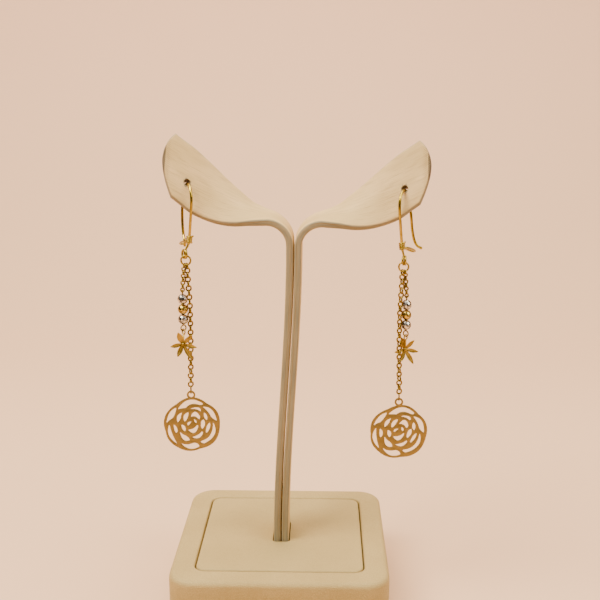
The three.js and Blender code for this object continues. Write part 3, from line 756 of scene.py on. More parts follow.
def loop_path(centre: Vector, width: float, height: float, turn: float, count: int = 40) -> list[Vector]:
    """Oval ring round a centre, standing upright and turned about the vertical.

    Args:
        centre: The middle.
        width: Half its width.
        height: Half its height.
        turn: Angle from the X axis, in radians.
        count: How many points.

    Returns:
        The ring's points.
    """
    side = Vector((math.cos(turn), math.sin(turn), 0.0))
    angles = [2 * math.pi * i / count for i in range(count)]
    return [centre + side * width * math.sin(a) + UP * height * math.cos(a) for a in angles]


def quarter(centre: Vector, radius: float, start: float, steps: int) -> list[Vector]:
    """Quarter circle that lies flat.

    Args:
        centre: Its centre.
        radius: Its radius.
        start: Angle in degrees from the X axis where it starts.
        steps: How many steps it has.

    Returns:
        Its points.
    """
    angles = [math.radians(start + 90 * k / steps) for k in range(steps + 1)]
    return [centre + Vector((math.cos(a), math.sin(a), 0)) * radius for a in angles]


# The stand

# Corners of a rectangle: the signs of both axes, and the angle where the corner's arc starts
CORNERS = ((1, -1, -90), (1, 1, 0), (-1, 1, 90), (-1, -1, 180))


@dataclass(frozen=True)
class Lean:
    """How the stand's arms lean a little to the right as they rise."""

    root: float = -0.2
    shift: float = 3.8
    tilt: float = math.radians(1.5)
    low: float = 18.0
    shoulder: float = 104.3

    def place(self, out: float, y: float, height: float) -> Vector:
        """Where a point of the arms comes to lie.

        Args:
            out: Distance from the arms' middle, to the right.
            y: Distance away from the viewer.
            height: Height above the base's underside.

        Returns:
            The point.
        """
        share = min(max((height - self.low) / (self.shoulder - self.low), 0.0), 1.0)
        climb = share * share * (3 - 2 * share)
        turn = self.tilt * climb
        above = max(height - self.shoulder, 0.0)
        x = self.root + self.shift * climb + out * math.cos(turn) + above * math.sin(turn)
        return Vector((x, y, height - above * (1 - math.cos(turn)) - out * math.sin(turn)))


@dataclass(frozen=True)
class Station:
    """A section of a wing, in shares of its reach, rise and half width."""

    out: float
    front: float
    back: float
    depth: float


@dataclass
class Ruling:
    """Front and back edge of an arm's middle surface at one place along it."""

    front: Vector
    back: Vector

    @property
    def middle(self) -> Vector:
        """The point between the edges."""
        return (self.front + self.back) / 2


@dataclass(frozen=True)
class BoreStep:
    """A ring of a wing's bore: distance above the middle surface in millimetres, and radius in hole radii."""

    depth: float
    radius: float


BORE = (
    BoreStep(-4.0, 0.58),
    BoreStep(-1.0, 0.58),
    BoreStep(0.7, 0.84),
    BoreStep(1.0, 0.95),
    BoreStep(1.3, 1.15),
    BoreStep(4.0, 1.2),
)


@dataclass
class Arm:
    """One of the two bent strips that stand back to back and spread into a wing."""

    side: Side
    lean: Lean = Lean()
    foot: float = 4.3
    thickness: float = 2.0
    width: float = 12.0
    gap: float = 0.3
    shoulder_radius: float = 6.3
    reach: float = 26.0
    rise: float = 22.2
    twist: float = 1.3
    bulge: float = 3.5
    edge_radius: float = 0.62
    hole_radius: float = 0.95
    hole_reach: float = 22.25
    hole_across: float = 0.39
    stations: tuple[Station, ...] = (
        Station(0.0, 0.0, 0.0586, 1.0),
        Station(0.175, -0.016, 0.155, 1.0),
        Station(0.33, -0.04, 0.31, 0.95),
        Station(0.48, -0.036, 0.477, 0.83),
        Station(0.635, 0.005, 0.658, 0.73),
        Station(0.79, 0.08, 0.824, 0.68),
        Station(0.904, 0.18, 0.919, 0.67),
        Station(1.0, 0.266, 1.0, 0.67),
    )

    def _station(self, share: float) -> Station:
        """The wing's section a share of the way along the table.

        Args:
            share: From 0 at the shoulder to 1 at the end.

        Returns:
            The section, smoothly between those of the table.
        """
        last = len(self.stations) - 1
        place = last * share
        at = min(int(place), last - 1)
        t = place - at
        four = [self.stations[min(max(at + k, 0), last)] for k in (-1, 0, 1, 2)]

        def between(name: str) -> float:
            """Smooth value of a field between the middle two of the four sections.

            Args:
                name: The field.

            Returns:
                The value.
            """
            a, b, c, d = (getattr(station, name) for station in four)
            leave, reach = (c - a) / 2, (d - b) / 2
            cube = 2 * b - 2 * c + leave + reach
            square = 3 * c - 3 * b - 2 * leave - reach
            return cube * t**3 + square * t**2 + leave * t + b

        return Station(*(between(name) for name in ("out", "front", "back", "depth")))

    def rulings(self, stem: int = 60, bend: int = 28, wing: int = 70, end: int = 14) -> list[Ruling]:
        """The arm's sections from its foot to the end of its wing.

        Args:
            stem: Sections of the upright part.
            bend: Sections of the shoulder.
            wing: Sections of the wing.
            end: Sections of its rounded end.

        Returns:
            The sections.
        """
        half = self.width / 2
        middle = (self.gap + self.thickness) / 2
        root_out = middle + self.shoulder_radius
        root_height = self.lean.shoulder + self.shoulder_radius
        rows = []
        for i in range(stem):
            height = self.foot + (self.lean.shoulder - self.foot) * i / stem
            rows.append(Ruling(Vector((middle, -half, height)), Vector((middle, half, height))))
        for i in range(bend + 1):
            angle = i / bend * math.pi / 2
            height = self.lean.shoulder + self.shoulder_radius * math.sin(angle)
            out = root_out - self.shoulder_radius * math.cos(angle)
            back = height + self.twist * (i / bend) ** 2
            rows.append(Ruling(Vector((out, -half, height)), Vector((out, half, back))))
        for i in range(1, wing + 1):
            s = self._station(i / wing)
            out = root_out + self.reach * s.out
            low, high = root_height + self.rise * s.front, root_height + self.rise * s.back
            rows.append(Ruling(Vector((out, -half * s.depth, low)), Vector((out, half * s.depth, high))))
        centre = rows[-1].middle
        ahead = (centre - rows[-6].middle).normalized()
        last = rows[-1]
        almost = 0.997
        for i in range(1, end + 1):
            share = almost * (1 - (1 - i / end) ** 2)
            shrink = math.sqrt(1 - share)
            move = ahead * self.bulge * share
            ends = [centre.lerp(point, shrink) + move for point in (last.front, last.back)]
            rows.append(Ruling(*ends))
        return rows

    @staticmethod
    def normal(rows: Sequence[Ruling], at: int) -> Vector:
        """The middle surface's normal at a section, on the wing's upper side.

        Args:
            rows: The arm's sections.
            at: The section's place among them.

        Returns:
            The normal.
        """
        before, after = rows[max(at - 1, 0)], rows[min(at + 1, len(rows) - 1)]
        along = after.middle - before.middle
        return along.cross(rows[at].back - rows[at].front).normalized()

    def hole(self) -> tuple[Vector, Vector]:
        """Finds the hole in the wing, in the arm's own plane.

        Returns:
            Its middle, and the wing's normal there.
        """
        rows = self.rulings()
        reach = (self.gap + self.thickness) / 2 + self.shoulder_radius + self.hole_reach
        at = next(i for i, row in enumerate(rows) if row.front.x > reach)
        share = (reach - rows[at - 1].front.x) / (rows[at].front.x - rows[at - 1].front.x)
        front = rows[at - 1].front.lerp(rows[at].front, share)
        back = rows[at - 1].back.lerp(rows[at].back, share)
        return front.lerp(back, self.hole_across), self.normal(rows, at)

    def _profile(self, half: float) -> list[tuple[float, float]]:
        """Rounded outline of a section, as distances across and through.

        Args:
            half: Half the section's width.

        Returns:
            The outline's points.
        """
        thick = self.thickness / 2
        radius = min(self.edge_radius, 0.9 * half)
        flat, narrow, corner = 18, 5, 5
        outline: list[tuple[float, float]] = []
        for index, (x, y, start) in enumerate(CORNERS):
            cx, cy = x * (half - radius), y * (thick - radius)
            for k in range(corner + 1):
                angle = math.radians(start + 90 * k / corner)
                outline.append((cx + radius * math.cos(angle), cy + radius * math.sin(angle)))
            following = CORNERS[(index + 1) % 4]
            nx, ny = following[0] * (half - radius), following[1] * (thick - radius)
            angle = math.radians(start + 90)
            here = (cx + radius * math.cos(angle), cy + radius * math.sin(angle))
            there = (nx + radius * math.cos(angle), ny + radius * math.sin(angle))
            steps = flat if index % 2 else narrow
            for k in range(1, steps):
                across = here[0] + (there[0] - here[0]) * k / steps
                through = here[1] + (there[1] - here[1]) * k / steps
                outline.append((across, through))
        return outline

    def build(self, material: bpy.types.Material, bore_shade: bpy.types.Material) -> bpy.types.Object:
        """Makes the arm and bores its hole.

        Args:
            material: The strip's finish.
            bore_shade: The dark finish inside the hole, painted shade in the bore.

        Returns:
            The arm.
        """
        rows = self.rulings()
        rings: list[list[Vector]] = []
        marks: list[Vector] = []
        along = 0.0
        for i, row in enumerate(rows):
            if i:
                along += (row.middle - rows[i - 1].middle).length
            span = row.back - row.front
            half = span.length / 2
            across, normal = span.normalized(), self.normal(rows, i)
            ring = []
            for a, b in self._profile(half):
                p = row.middle + across * a + normal * b
                ring.append(self.lean.place(self.side.value * p.x, p.y, p.z))
                marks.append(Vector((along, a, 2 * b / self.thickness)))
            rings.append(ring)
        skin = ring_skin(rings)
        skin.marks = [Vector((mark.x - along, mark.y, mark.z)) for mark in marks]
        made = make_object(f"arm_cover_{self.side.word}", skin, "strip", sharp=50)
        made.data.materials.append(material)
        # The bore's walls take a dark finish: painted shade inside the hole.
        bore = self._bore()
        bore.data.materials.append(bore_shade)
        cut(made, bore)
        return made

    def _bore(self) -> bpy.types.Object:
        """Makes the tool for the wing's hole.

        Returns:
            The tool, which widens a little towards the wing's upper side.
        """
        centre, normal = self.hole()
        place = self.lean.place(self.side.value * centre.x, centre.y, centre.z)
        way = Vector((self.side.value * normal.x, normal.y, normal.z))
        across = way.orthogonal().normalized()
        side = way.cross(across)
        rings, sides = [], 28
        for row in BORE:
            middle, radius = place + way * row.depth, row.radius * self.hole_radius
            rings.append([_round_point(middle, across, side, radius, k / sides) for k in range(sides)])
        skin = ring_skin(rings)
        skin.marks = [Vector((0.0, 0.0, 0.9))] * len(skin.points)
        return make_object("bore", skin, "strip")


@dataclass(frozen=True)
class RimStep:
    """A ring of the pocket's rolled rim: how much wider than the pocket, and how far down, in millimetres."""

    grow: float
    drop: float


POCKET_RIM = (
    RimStep(3.0, 0.0),
    RimStep(1.1, 0.0),
    RimStep(0.7, 0.05),
    RimStep(0.3, 0.22),
    RimStep(0.0, 0.7),
)


@dataclass
class Base:
    """Square base covered in leatherette, with a panel let into its top."""

    width: float = 60.0
    height: float = 18.0
    corner: float = 7.0
    edge: float = 1.6
    panel: float = 46.0
    panel_corner: float = 3.0
    panel_thickness: float = 2.4
    panel_edge: float = 0.55
    panel_gap: float = 0.35
    slot: tuple[float, float] = (4.3, 12.0)
    slot_place: float = -0.2
    slot_corner: float = 0.95
    slot_gap: float = 0.35
    socket_gap: float = 0.3
    socket_floor: float = 4.0
    edge_steps: int = 6
    corner_steps: int = 10
    side_steps: int = 12

    def _outline(self, width: float, radius: float, z: float) -> list[Vector]:
        """Square with rounded corners at a height.

        Args:
            width: Its width.
            radius: Its corners' radius.
            z: The height.

        Returns:
            The outline's points.
        """
        half, straight = width / 2 - radius, width - 2 * radius
        points = []
        for x, y, start in CORNERS:
            points += quarter(Vector((x * half, y * half, z)), radius, start, self.corner_steps)
            last = points[-1]
            way = Vector((-(x + y) / 2, (x - y) / 2, 0))
            points += [last + way * straight * k / self.side_steps for k in range(1, self.side_steps)]
        return points

    def _round(
        self, width: float, corner: float, edge: float, z: float, downward: bool
    ) -> list[list[Vector]]:
        """Rings of a rounded edge.

        Args:
            width: Width of the piece.
            corner: Radius of its corners.
            edge: Radius of the edge.
            z: Height of the face that the edge belongs to.
            downward: Whether the face looks down.

        Returns:
            The rings, from the lower one up.
        """
        rings = []
        for k in range(self.edge_steps + 1):
            angle = math.pi / 2 * k / self.edge_steps
            if downward:
                inset, height = edge * (1 - math.sin(angle)), z + edge * (1 - math.cos(angle))
            else:
                inset, height = edge * (1 - math.cos(angle)), z - edge * (1 - math.sin(angle))
            rings.append(self._outline(width - 2 * inset, max(corner - inset, 0.05), height))
        return rings

    def _slot_tool(self, margin: float, low: float, material: bpy.types.Material) -> bpy.types.Object:
        """Upright tool as wide as the arms.

        Args:
            margin: Room round the arms.
            low: Height of its underside.
            material: The finish that the slot's walls get.

        Returns:
            The tool.
        """
        radius = self.slot_corner
        half_x, half_y = self.slot[0] / 2 + margin - radius, self.slot[1] / 2 + margin - radius
        rings = []
        for z in (low, self.height + 3):
            ring = []
            for x, y, start in CORNERS:
                ring += quarter(Vector((self.slot_place + x * half_x, y * half_y, z)), radius, start, 4)
            rings.append(ring)
        tool = make_object("slot", ring_skin(rings))
        tool.data.materials.append(material)
        return tool

    def build_block(self, material: bpy.types.Material) -> bpy.types.Object:
        """Makes the base with its pocket.

        Args:
            material: The cover's finish.

        Returns:
            The base.
        """
        rings = [self._outline(self.width * 0.6, 2.0, 0.0)]
        rings += self._round(self.width, self.corner, self.edge, 0.0, downward=True)
        for share in (0.25, 0.5, 0.75):
            rings.append(self._outline(self.width, self.corner, self.height * share))
        rings += self._round(self.width, self.corner, self.edge, self.height, downward=False)
        pocket, corner = self.panel + 2 * self.panel_gap, self.panel_corner + self.panel_gap
        for row in POCKET_RIM:
            rings.append(self._outline(pocket + row.grow, corner + row.grow / 2, self.height - row.drop))
        floor = self.height - self.panel_thickness - self.panel_gap
        rings.append(self._outline(pocket, corner, floor))
        rings.append(self._outline(pocket * 0.5, 1.0, floor))
        made = make_object("base_cover", ring_skin(rings), sharp=60)
        made.data.materials.append(material)
        cut(made, self._slot_tool(self.socket_gap, self.socket_floor, material))
        return made

    def build_panel(self, material: bpy.types.Material) -> bpy.types.Object:
        """Makes the panel with the slot that the arms come through.

        Args:
            material: The cover's finish.

        Returns:
            The panel.
        """
        low = self.height - self.panel_thickness
        rings = [self._outline(self.panel * 0.5, 1.0, low)]
        rings.append(self._outline(self.panel, self.panel_corner, low))
        rings.append(self._outline(self.panel, self.panel_corner, low + 1))
        rings += self._round(self.panel, self.panel_corner, self.panel_edge, self.height, downward=False)
        rings.append(self._outline(self.panel * 0.9, 2.0, self.height))
        rings.append(self._outline(self.panel * 0.5, 1.0, self.height))
        made = make_object("panel_cover", ring_skin(rings), sharp=60)
        made.data.materials.append(material)
        cut(made, self._slot_tool(self.slot_gap, 0.0, material))
        return made


# The earrings


@dataclass(frozen=True)
class TailPoint:
    """A place on an ear wire's free end.

    back and drop are shares of the bend's width and of the leg's length, and aside is in millimetres.
    """

    back: float
    aside: float
    drop: float


TAILS = {
    Tail.CLOSED: (
        TailPoint(0.98, 0.85, 0.45),
        TailPoint(0.93, 0.98, 0.72),
        TailPoint(0.8, 1.02, 0.89),
        TailPoint(0.67, 1.0, 0.965),
        TailPoint(0.66, 1.0, 1.07),
    ),
    Tail.OPEN: (
        TailPoint(0.98, 1.1, 0.45),
        TailPoint(1.0, 1.5, 0.7),
        TailPoint(1.03, 2.15, 0.89),
        TailPoint(1.07, 2.9, 0.975),
        TailPoint(1.12, 4.0, 1.02),
    ),
}


@dataclass(frozen=True)
class Hang:
    """How one of the two earrings happened to hang.

    Drops and distances are in millimetres and turns in degrees. front is 1 where the bead string hangs
    before the long chain, and -1 where it hangs behind it.
    """

    side: Side
    front: int
    tail: Tail
    catch_drop: float
    catch_aside: float
    neck_out: float
    charm_back: float
    charm_drop: float
    flower_turn: float
    rose_turn: float


@dataclass(frozen=True)
class CatchPoint:
    """A place on a strand of the hairpin: shares of its length and of its half width."""

    along: float
    aside: float


CATCH = (
    CatchPoint(0, 0.2),
    CatchPoint(0.15, 0.85),
    CatchPoint(0.4, 1),
    CatchPoint(0.85, 1),
    CatchPoint(0.97, 0.6),
    CatchPoint(1, 0),
)


@dataclass
class EarWire:
    """Ear wire with its wound sleeve, hairpin catch and eye."""

    hang: Hang
    wire: float = 0.35
    stout: float = 1.1
    bend: float = 3.7
    hole_back: float = 5.1
    leg: float = 15.9
    turn: float = math.radians(22)
    coil_length: float = 2.5
    coil_radius: float = 0.88
    coil_wire: float = 0.27
    coil_wraps: float = 3.9
    coil_steps: int = 20
    coil_flares: tuple[float, float] = (0.4, 0.3)
    catch_length: float = 6.5
    catch_half: float = 0.84
    catch_wire: float = 0.3
    eye: float = 1.1
    eye_wire: float = 0.3
    eye_drop: float = 2.7
    rest: float = REST
    leg_back: float = 1.0
    leg_aside: float = 0.8
    sway: float = 0.5

    def __post_init__(self) -> None:
        """Works out where the wire rests in its hole."""
        side = self.hang.side
        arm = Arm(side)
        centre, normal = arm.hole()
        self.back = Vector((side.value * math.sin(self.turn), math.cos(self.turn), 0.0))
        self.aside = Vector((side.value * math.cos(self.turn), -math.sin(self.turn), 0.0))
        at = self.hole_back - self.bend
        fall = self.bend - math.sqrt(self.bend**2 - at**2)
        play = arm.hole_radius - self.wire - self.rest
        self.origin = arm.lean.place(side.value * centre.x, centre.y, centre.z)
        self.origin -= self.back * self.hole_back
        self.origin.z += fall - play * normal.y**2

    def point(self, back: float, aside: float, drop: float) -> Vector:
        """A point of the wire's own plane."""
        return self.origin + self.back * back + self.aside * aside - UP * drop

    @property
    def eye_centre(self) -> Vector:
        """The middle of the eye under the sleeve."""
        return self.point(self.leg_back, self.leg_aside + self.hang.neck_out, self.leg + self.eye_drop)

    @property
    def leg_foot(self) -> Vector:
        """The leg's lower end."""
        return self.point(self.leg_back, self.leg_aside, self.leg)

    @property
    def coil_top(self) -> Vector:
        """Where the sleeve ends on the leg."""
        return self.point(0.75 * self.leg_back, 0.72 * self.leg_aside, self.leg - self.coil_length)

    def _hook(self) -> list[Vector]:
        """Path of the leg, the bend through the hole, and the free end.

        Returns:
            The path's points.
        """
        path = [
            self.leg_foot,
            self.coil_top,
            self.point(0.2 * self.leg_back, 0.3 * self.leg_aside, self.leg / 2),
        ]
        for degrees in range(0, 181, 30):
            angle = math.radians(degrees)
            aside = self.sway * max(0.0, -math.cos(angle))
            back, drop = self.bend * (1 - math.cos(angle)), self.bend * (1 - math.sin(angle))
            path.append(self.point(back, aside, drop))
        for row in TAILS[self.hang.tail]:
            path.append(self.point(2 * self.bend * row.back, row.aside, self.leg * row.drop))
        return smooth_path(path, 170)

    def _coil(self) -> Skin:
        """Winds wire round the foot of the leg, with its cut ends standing off a little.

        Returns:
            The sleeve's skin.
        """
        foot = self.leg_foot
        axis = (self.coil_top - foot).normalized()
        across = axis.orthogonal().normalized()
        side = axis.cross(across)
        reach = self.coil_length - 2 * self.coil_wire
        radius = self.coil_radius - self.coil_wire
        path = []
        total = int(self.coil_wraps * self.coil_steps)
        for i in range(total + 1):
            share = i / total
            flare = self.coil_flares[0] * max(0.0, 1 - i / 5)
            flare += self.coil_flares[1] * max(0.0, 1 - (total - i) / 4)
            centre = foot + axis * (self.coil_wire + reach * share)
            path.append(_round_point(centre, across, side, radius + flare, self.coil_wraps * share))
        return wire_skin(path, self.coil_wire, 10)

    def _catch(self) -> list[Vector]:
        """Path of the hairpin that holds the free end.

        Returns:
            The path's points.
        """
        near = self.leg - 0.3 * self.coil_length
        both = [(row.along, row.aside) for row in CATCH]
        both += [(along, -aside) for along, aside in reversed(both[:-1])]
        path = []
        for share, width in both:
            aside = self.leg_aside + self.hang.catch_aside * share + width * self.catch_half
            drop = near + self.hang.catch_drop * share**1.5
            path.append(self.point(self.leg_back + self.catch_length * share, aside, drop))
        return smooth_path(path, 90)

    def build(self, material: bpy.types.Material, fitting: bpy.types.Material) -> bpy.types.Object:
        """Makes the ear wire.

        Args:
            material: The long wire's metal, a lighter copy of the fittings' gold: painted light on it.
            fitting: The metal of the sleeve, the catch and the eye, a darker copy of the long wire's gold:
                painted shade on them.

        Returns:
            The ear wire.
        """
        centre = self.eye_centre
        top = centre + UP * self.eye
        foot = self.leg_foot
        neck = [foot + UP * 0.4, foot.lerp(top, 0.4), top + UP * 0.05, top - self.back * 0.35 - UP * 0.15]
        turn = math.atan2(self.back.y, self.back.x)
        skin = wire_skin(self._hook(), self.wire * self.stout, 16)
        plain = len(skin.faces)
        skin.add(self._coil())
        skin.add(wire_skin(self._catch(), self.catch_wire, 12))
        skin.add(wire_skin(smooth_path(neck, 24), self.eye_wire, 12))
        for lean, shift in ((0.0, 0.0), (0.32, 0.42)):
            middle = centre + self.aside * shift
            loop = loop_path(middle, self.eye * (1 - 0.3 * lean), self.eye, turn + lean)
            skin.add(wire_skin(loop, self.eye_wire, 12, closed=True))
        made = make_object(f"hook_{self.hang.side.word}", skin)
        made.data.materials.append(material)
        made.data.materials.append(fitting)
        for face in made.data.polygons:
            face.material_index = int(face.index >= plain)
        return made


@dataclass
class JumpRing:
    """Open ring whose cut ends meet at its side."""

    centre: Vector
    radius: float = RING_RADIUS
    wire: float = 0.255
    cut: float = 61.0
    opening: float = 2.0

    def build(self, name: str, material: bpy.types.Material) -> bpy.types.Object:
        """Makes the ring.

        Args:
            name: The piece's name.
            material: Its metal.

        Returns:
            The ring.
        """
        path = []
        for i in range(61):
            angle = math.radians(self.cut + (360 - self.opening) * i / 60)
            path.append(self.centre + Vector((math.cos(angle), 0.0, math.sin(angle))) * self.radius)
        made = make_object(name, wire_skin(path, self.wire, 14))
        made.data.materials.append(material)
        return made


@dataclass(frozen=True)
class RoutePoint:
    """A place on a strand: share of its length, and millimetres towards the post and the viewer."""

    along: float
    inward: float
    front: float


LONG_ROUTE = (
    RoutePoint(0, 0.3, 0),
    RoutePoint(0.08, 0.36, -0.1),
    RoutePoint(0.25, 0.68, -0.25),
    RoutePoint(0.5, 0.74, -0.3),
    RoutePoint(1, 0.35, -0.2),
)
FINE_ROUTE = (
    RoutePoint(0, -0.42, 0),
    RoutePoint(0.14, -0.6, 0.42),
    RoutePoint(0.5, -0.86, 0.5),
    RoutePoint(1, -1.15, 0.55),
)


def link_tree() -> bpy.types.GeometryNodeTree:
    """Builds the node tree that strings links along an edge path.

    Returns:
        The tree, with named inputs for the links' sizes, their number and their metal.
    """
    tree = bpy.data.node_groups.new("links_along_path", "GeometryNodeTree")
    face = tree.interface
    face.new_socket("Geometry", in_out="INPUT", socket_type="NodeSocketGeometry")
    for label in ("Half width", "Half length", "Wire radius", "First turn", "Unevenness"):
        face.new_socket(label, in_out="INPUT", socket_type="NodeSocketFloat")
    face.new_socket("Links", in_out="INPUT", socket_type="NodeSocketInt")
    face.new_socket("Metal", in_out="INPUT", socket_type="NodeSocketMaterial")
    face.new_socket("Geometry", in_out="OUTPUT", socket_type="NodeSocketGeometry")
    graph = Graph(tree)
    entry = tree.nodes.new("NodeGroupInput")
    given = {socket.name: Socket(graph, socket) for socket in entry.outputs if socket.name}
    path = graph.node("GeometryNodeMeshToCurve", {}, {"Mesh": given["Geometry"]})
    places = {"Curve": path, "Count": given["Links"]}
    path = graph.node("GeometryNodeResampleCurve", {"mode": "COUNT"}, places)
    ring = {"Resolution": 22, "Radius": 1.0}
    ring = graph.node("GeometryNodeCurvePrimitiveCircle", {"mode": "RADIUS"}, ring)
    scale = graph.join(given["Half width"], given["Half length"], 1.0)
    ring = graph.node("GeometryNodeTransform", {}, {"Geometry": ring, "Scale": scale})
    section = {"Resolution": 9, "Radius": given["Wire radius"]}
    section = graph.node("GeometryNodeCurvePrimitiveCircle", {"mode": "RADIUS"}, section)
    link = graph.node("GeometryNodeCurveToMesh", {}, {"Curve": ring, "Profile Curve": section})
    index = graph.node("GeometryNodeInputIndex")
    chance = graph.node("FunctionNodeRandomValue", {"data_type": "FLOAT"}, {"ID": index, "Seed": 5}, output=1)
    turn = (index % 2.0) * (math.pi / 2) + given["First turn"] + (chance - 0.5) * given["Unevenness"]
    way = graph.node("GeometryNodeInputTangent")
    facing = graph.node("FunctionNodeAlignRotationToVector", {"axis": "Y"}, {"Vector": way})
    spin = graph.node("FunctionNodeEulerToRotation", {}, {0: graph.join(0.0, turn, 0.0)})
    rotation = {"Rotation": facing, "Rotate By": spin}
    rotation = graph.node("FunctionNodeRotateRotation", {"rotation_space": "LOCAL"}, rotation)
    placed = {"Points": path, "Instance": link, "Rotation": rotation}
    links = graph.node("GeometryNodeInstanceOnPoints", {}, placed)
    links = graph.node("GeometryNodeRealizeInstances", {}, {"Geometry": links})
    links = graph.node("GeometryNodeSetMaterial", {}, {"Geometry": links, "Material": given["Metal"]})
    graph.node("NodeGroupOutput", {}, {"Geometry": links})
    return tree


@dataclass
class Chain:
    """Cable chain whose links stand edge-on and face-on by turns."""

    route: tuple[RoutePoint, ...]
    ring: Vector
    hang: Hang
    width: float
    link: float
    wire: float
    length: float
    slack: float
    bite: float = 0.35
    stout: float = 1.5
    ease: float = 0.09
    first_turn: float = 68.0
    unevenness: float = 26.0

    def __post_init__(self) -> None:
        """Works out where each link is."""
        side, front = self.hang.side.value, self.hang.front
        play = RING_WIRE + self.wire + REST
        start = self.ring - UP * (RING_RADIUS + self.link / 2 - self.wire - play)
        points = []
        for row in self.route:
            offset = Vector((-side * row.inward, -front * row.front, -self.length * self.slack * row.along))
            points.append(start + offset)
        self.pitch = self.link - 4 * self.wire + 2 * self.bite * self.wire
        self.count = 2 * round(self.length / self.pitch / 2)
        self.places, self.ways = even_path(smooth_path(points, 400), self.pitch, self.count)

    @property
    def foot(self) -> Vector:
        """The middle of the lowest link's lowest wire."""
        return self.places[-1] + self.ways[-1] * (self.link / 2 - self.wire)

    def build(
        self, name: str, tree: bpy.types.GeometryNodeTree, material: bpy.types.Material
    ) -> bpy.types.Object:
        """Strings the links.

        Args:
            name: The piece's name.
            tree: The tree that strings links.
            material: Their metal.

        Returns:
            The chain, as one mesh.
        """
        path = bpy.data.meshes.new(name + "_path")
        edges = [(i, i + 1) for i in range(self.count - 1)]
        path.from_pydata([p * MM for p in self.places], edges, [])
        line = bpy.data.objects.new(name + "_path", path)
        bpy.context.scene.collection.objects.link(line)
        modifier = line.modifiers.new("links", "NODES")
        modifier.node_group = tree
        values = {
            "Half width": (self.width / 2 - self.wire + self.ease) * MM,
            "Half length": (self.link / 2 - self.wire) * MM,
            "Wire radius": self.wire * self.stout * MM,
            "First turn": math.radians(self.first_turn),
            "Unevenness": math.radians(self.unevenness),
            "Links": self.count,
            "Metal": material,
        }
        for item in tree.interface.items_tree:
            if item.in_out == "INPUT" and item.name in values:
                modifier[item.identifier] = values[item.name]
        graph = bpy.context.evaluated_depsgraph_get()
        mesh = bpy.data.meshes.new_from_object(line.evaluated_get(graph))
        line.modifiers.remove(modifier)
        bpy.data.objects.remove(line)
        made = bpy.data.objects.new(name, mesh)
        bpy.context.scene.collection.objects.link(made)
        finish_mesh(made)
        return made


@dataclass
class LongChain(Chain):
    """Chain down to the rose, with the longer link that carries it."""

    end_length: float = 2.5

    @property
    def end_centre(self) -> Vector:
        """The middle of the longer link."""
        pitch = self.end_length - 4 * self.wire + 2 * self.bite * self.wire
        return self.places[-1] - UP * (self.pitch + pitch) / 2

    @property
    def foot(self) -> Vector:
        """The middle of the longer link's lowest wire."""
        return self.end_centre - UP * (self.end_length / 2 - self.wire)

    def build_end(self, name: str, material: bpy.types.Material) -> bpy.types.Object:
        """Makes the longer link.

        Args:
            name: The piece's name.
            material: Its metal.

        Returns:
            The link.
        """
        half_width, half_length = self.width / 2 - self.wire, self.end_length / 2 - self.wire
        path = loop_path(self.end_centre, half_width, half_length, math.pi / 2, 30)
        made = make_object(name, wire_skin(path, self.wire, 10, closed=True))
        made.data.materials.append(material)
        return made


@dataclass
class CutBead:
    """Bead with rows of flat facets cut all over it, and a bore for its pin."""

    foot: Vector
    radius: float = 1.43
    height: float = 2.7
    bore: float = 0.32
    rows: int = 7
    facets: int = 11
    seed: int = 3

    def build(self, name: str, material: bpy.types.Material) -> bpy.types.Object:
        """Makes the bead.

        Args:
            name: The piece's name.
            material: Its metal.

        Returns:
            The bead.
        """
        chance = random.Random(self.seed)
        limit = math.acos(self.bore * 1.6 / self.radius)
        rings = []
        for row in range(self.rows + 1):
            angle = -limit + 2 * limit * row / self.rows
            z = self.height / 2 + self.height / 2 * math.sin(angle) / math.sin(limit)
            centre = self.foot + UP * z
            shift = 0.5 * (row % 2)
            radius = self.radius * math.cos(angle)
            ring = []
            for k in range(self.facets):
                turn = 2 * math.pi * (k + shift) / self.facets
                ring.append(centre + Vector((math.cos(turn), math.sin(turn), 0)) * radius)
            rings.append(ring)
        skin = Skin([p for ring in rings for p in ring])
        size = self.facets
        for row in range(self.rows):
            low, high = row * size, (row + 1) * size
            for k in range(size):
                after = (k + 1) % size
                if row % 2:
                    skin.faces.append((low + k, high + after, high + k))
                    skin.faces.append((low + k, low + after, high + after))
                else:
                    skin.faces.append((low + k, low + after, high + k))
                    skin.faces.append((low + after, high + after, high + k))
        self._add_bore(skin, size)
        made = make_object(name, skin, sharp=1)
        made.data.polygons.foreach_set("use_smooth", [False] * len(made.data.polygons))
        # Per facet: the darkness of its painted reflection, and a share for its roughness.
        layer = made.data.attributes.new("facet", "FLOAT_VECTOR", "FACE")
        for item in layer.data:
            item.vector = (chance.random(), chance.random(), 0.0)
        made.data.materials.append(material)
        return made

    def _add_bore(self, skin: Skin, size: int) -> None:
        """Closes the skin through the bore.

        Args:
            skin: The bead's skin, which is changed.
            size: How many points each of its rings has.
        """
        top_start = len(skin.points) - size
        start = len(skin.points)
        for z in (0.0, self.height):
            for k in range(size):
                turn = 2 * math.pi * (k + (0.5 if z and self.rows % 2 else 0.0)) / size
                reach = Vector((math.cos(turn), math.sin(turn), 0)) * self.bore
                skin.points.append(self.foot + UP * z + reach)
        for k in range(size):
            after = (k + 1) % size
            skin.faces.append((k, after, start + after, start + k))
            low, high = start, start + size
            skin.faces.append((low + k, low + after, high + after, high + k))
            skin.faces.append((high + k, high + after, top_start + after, top_start + k))


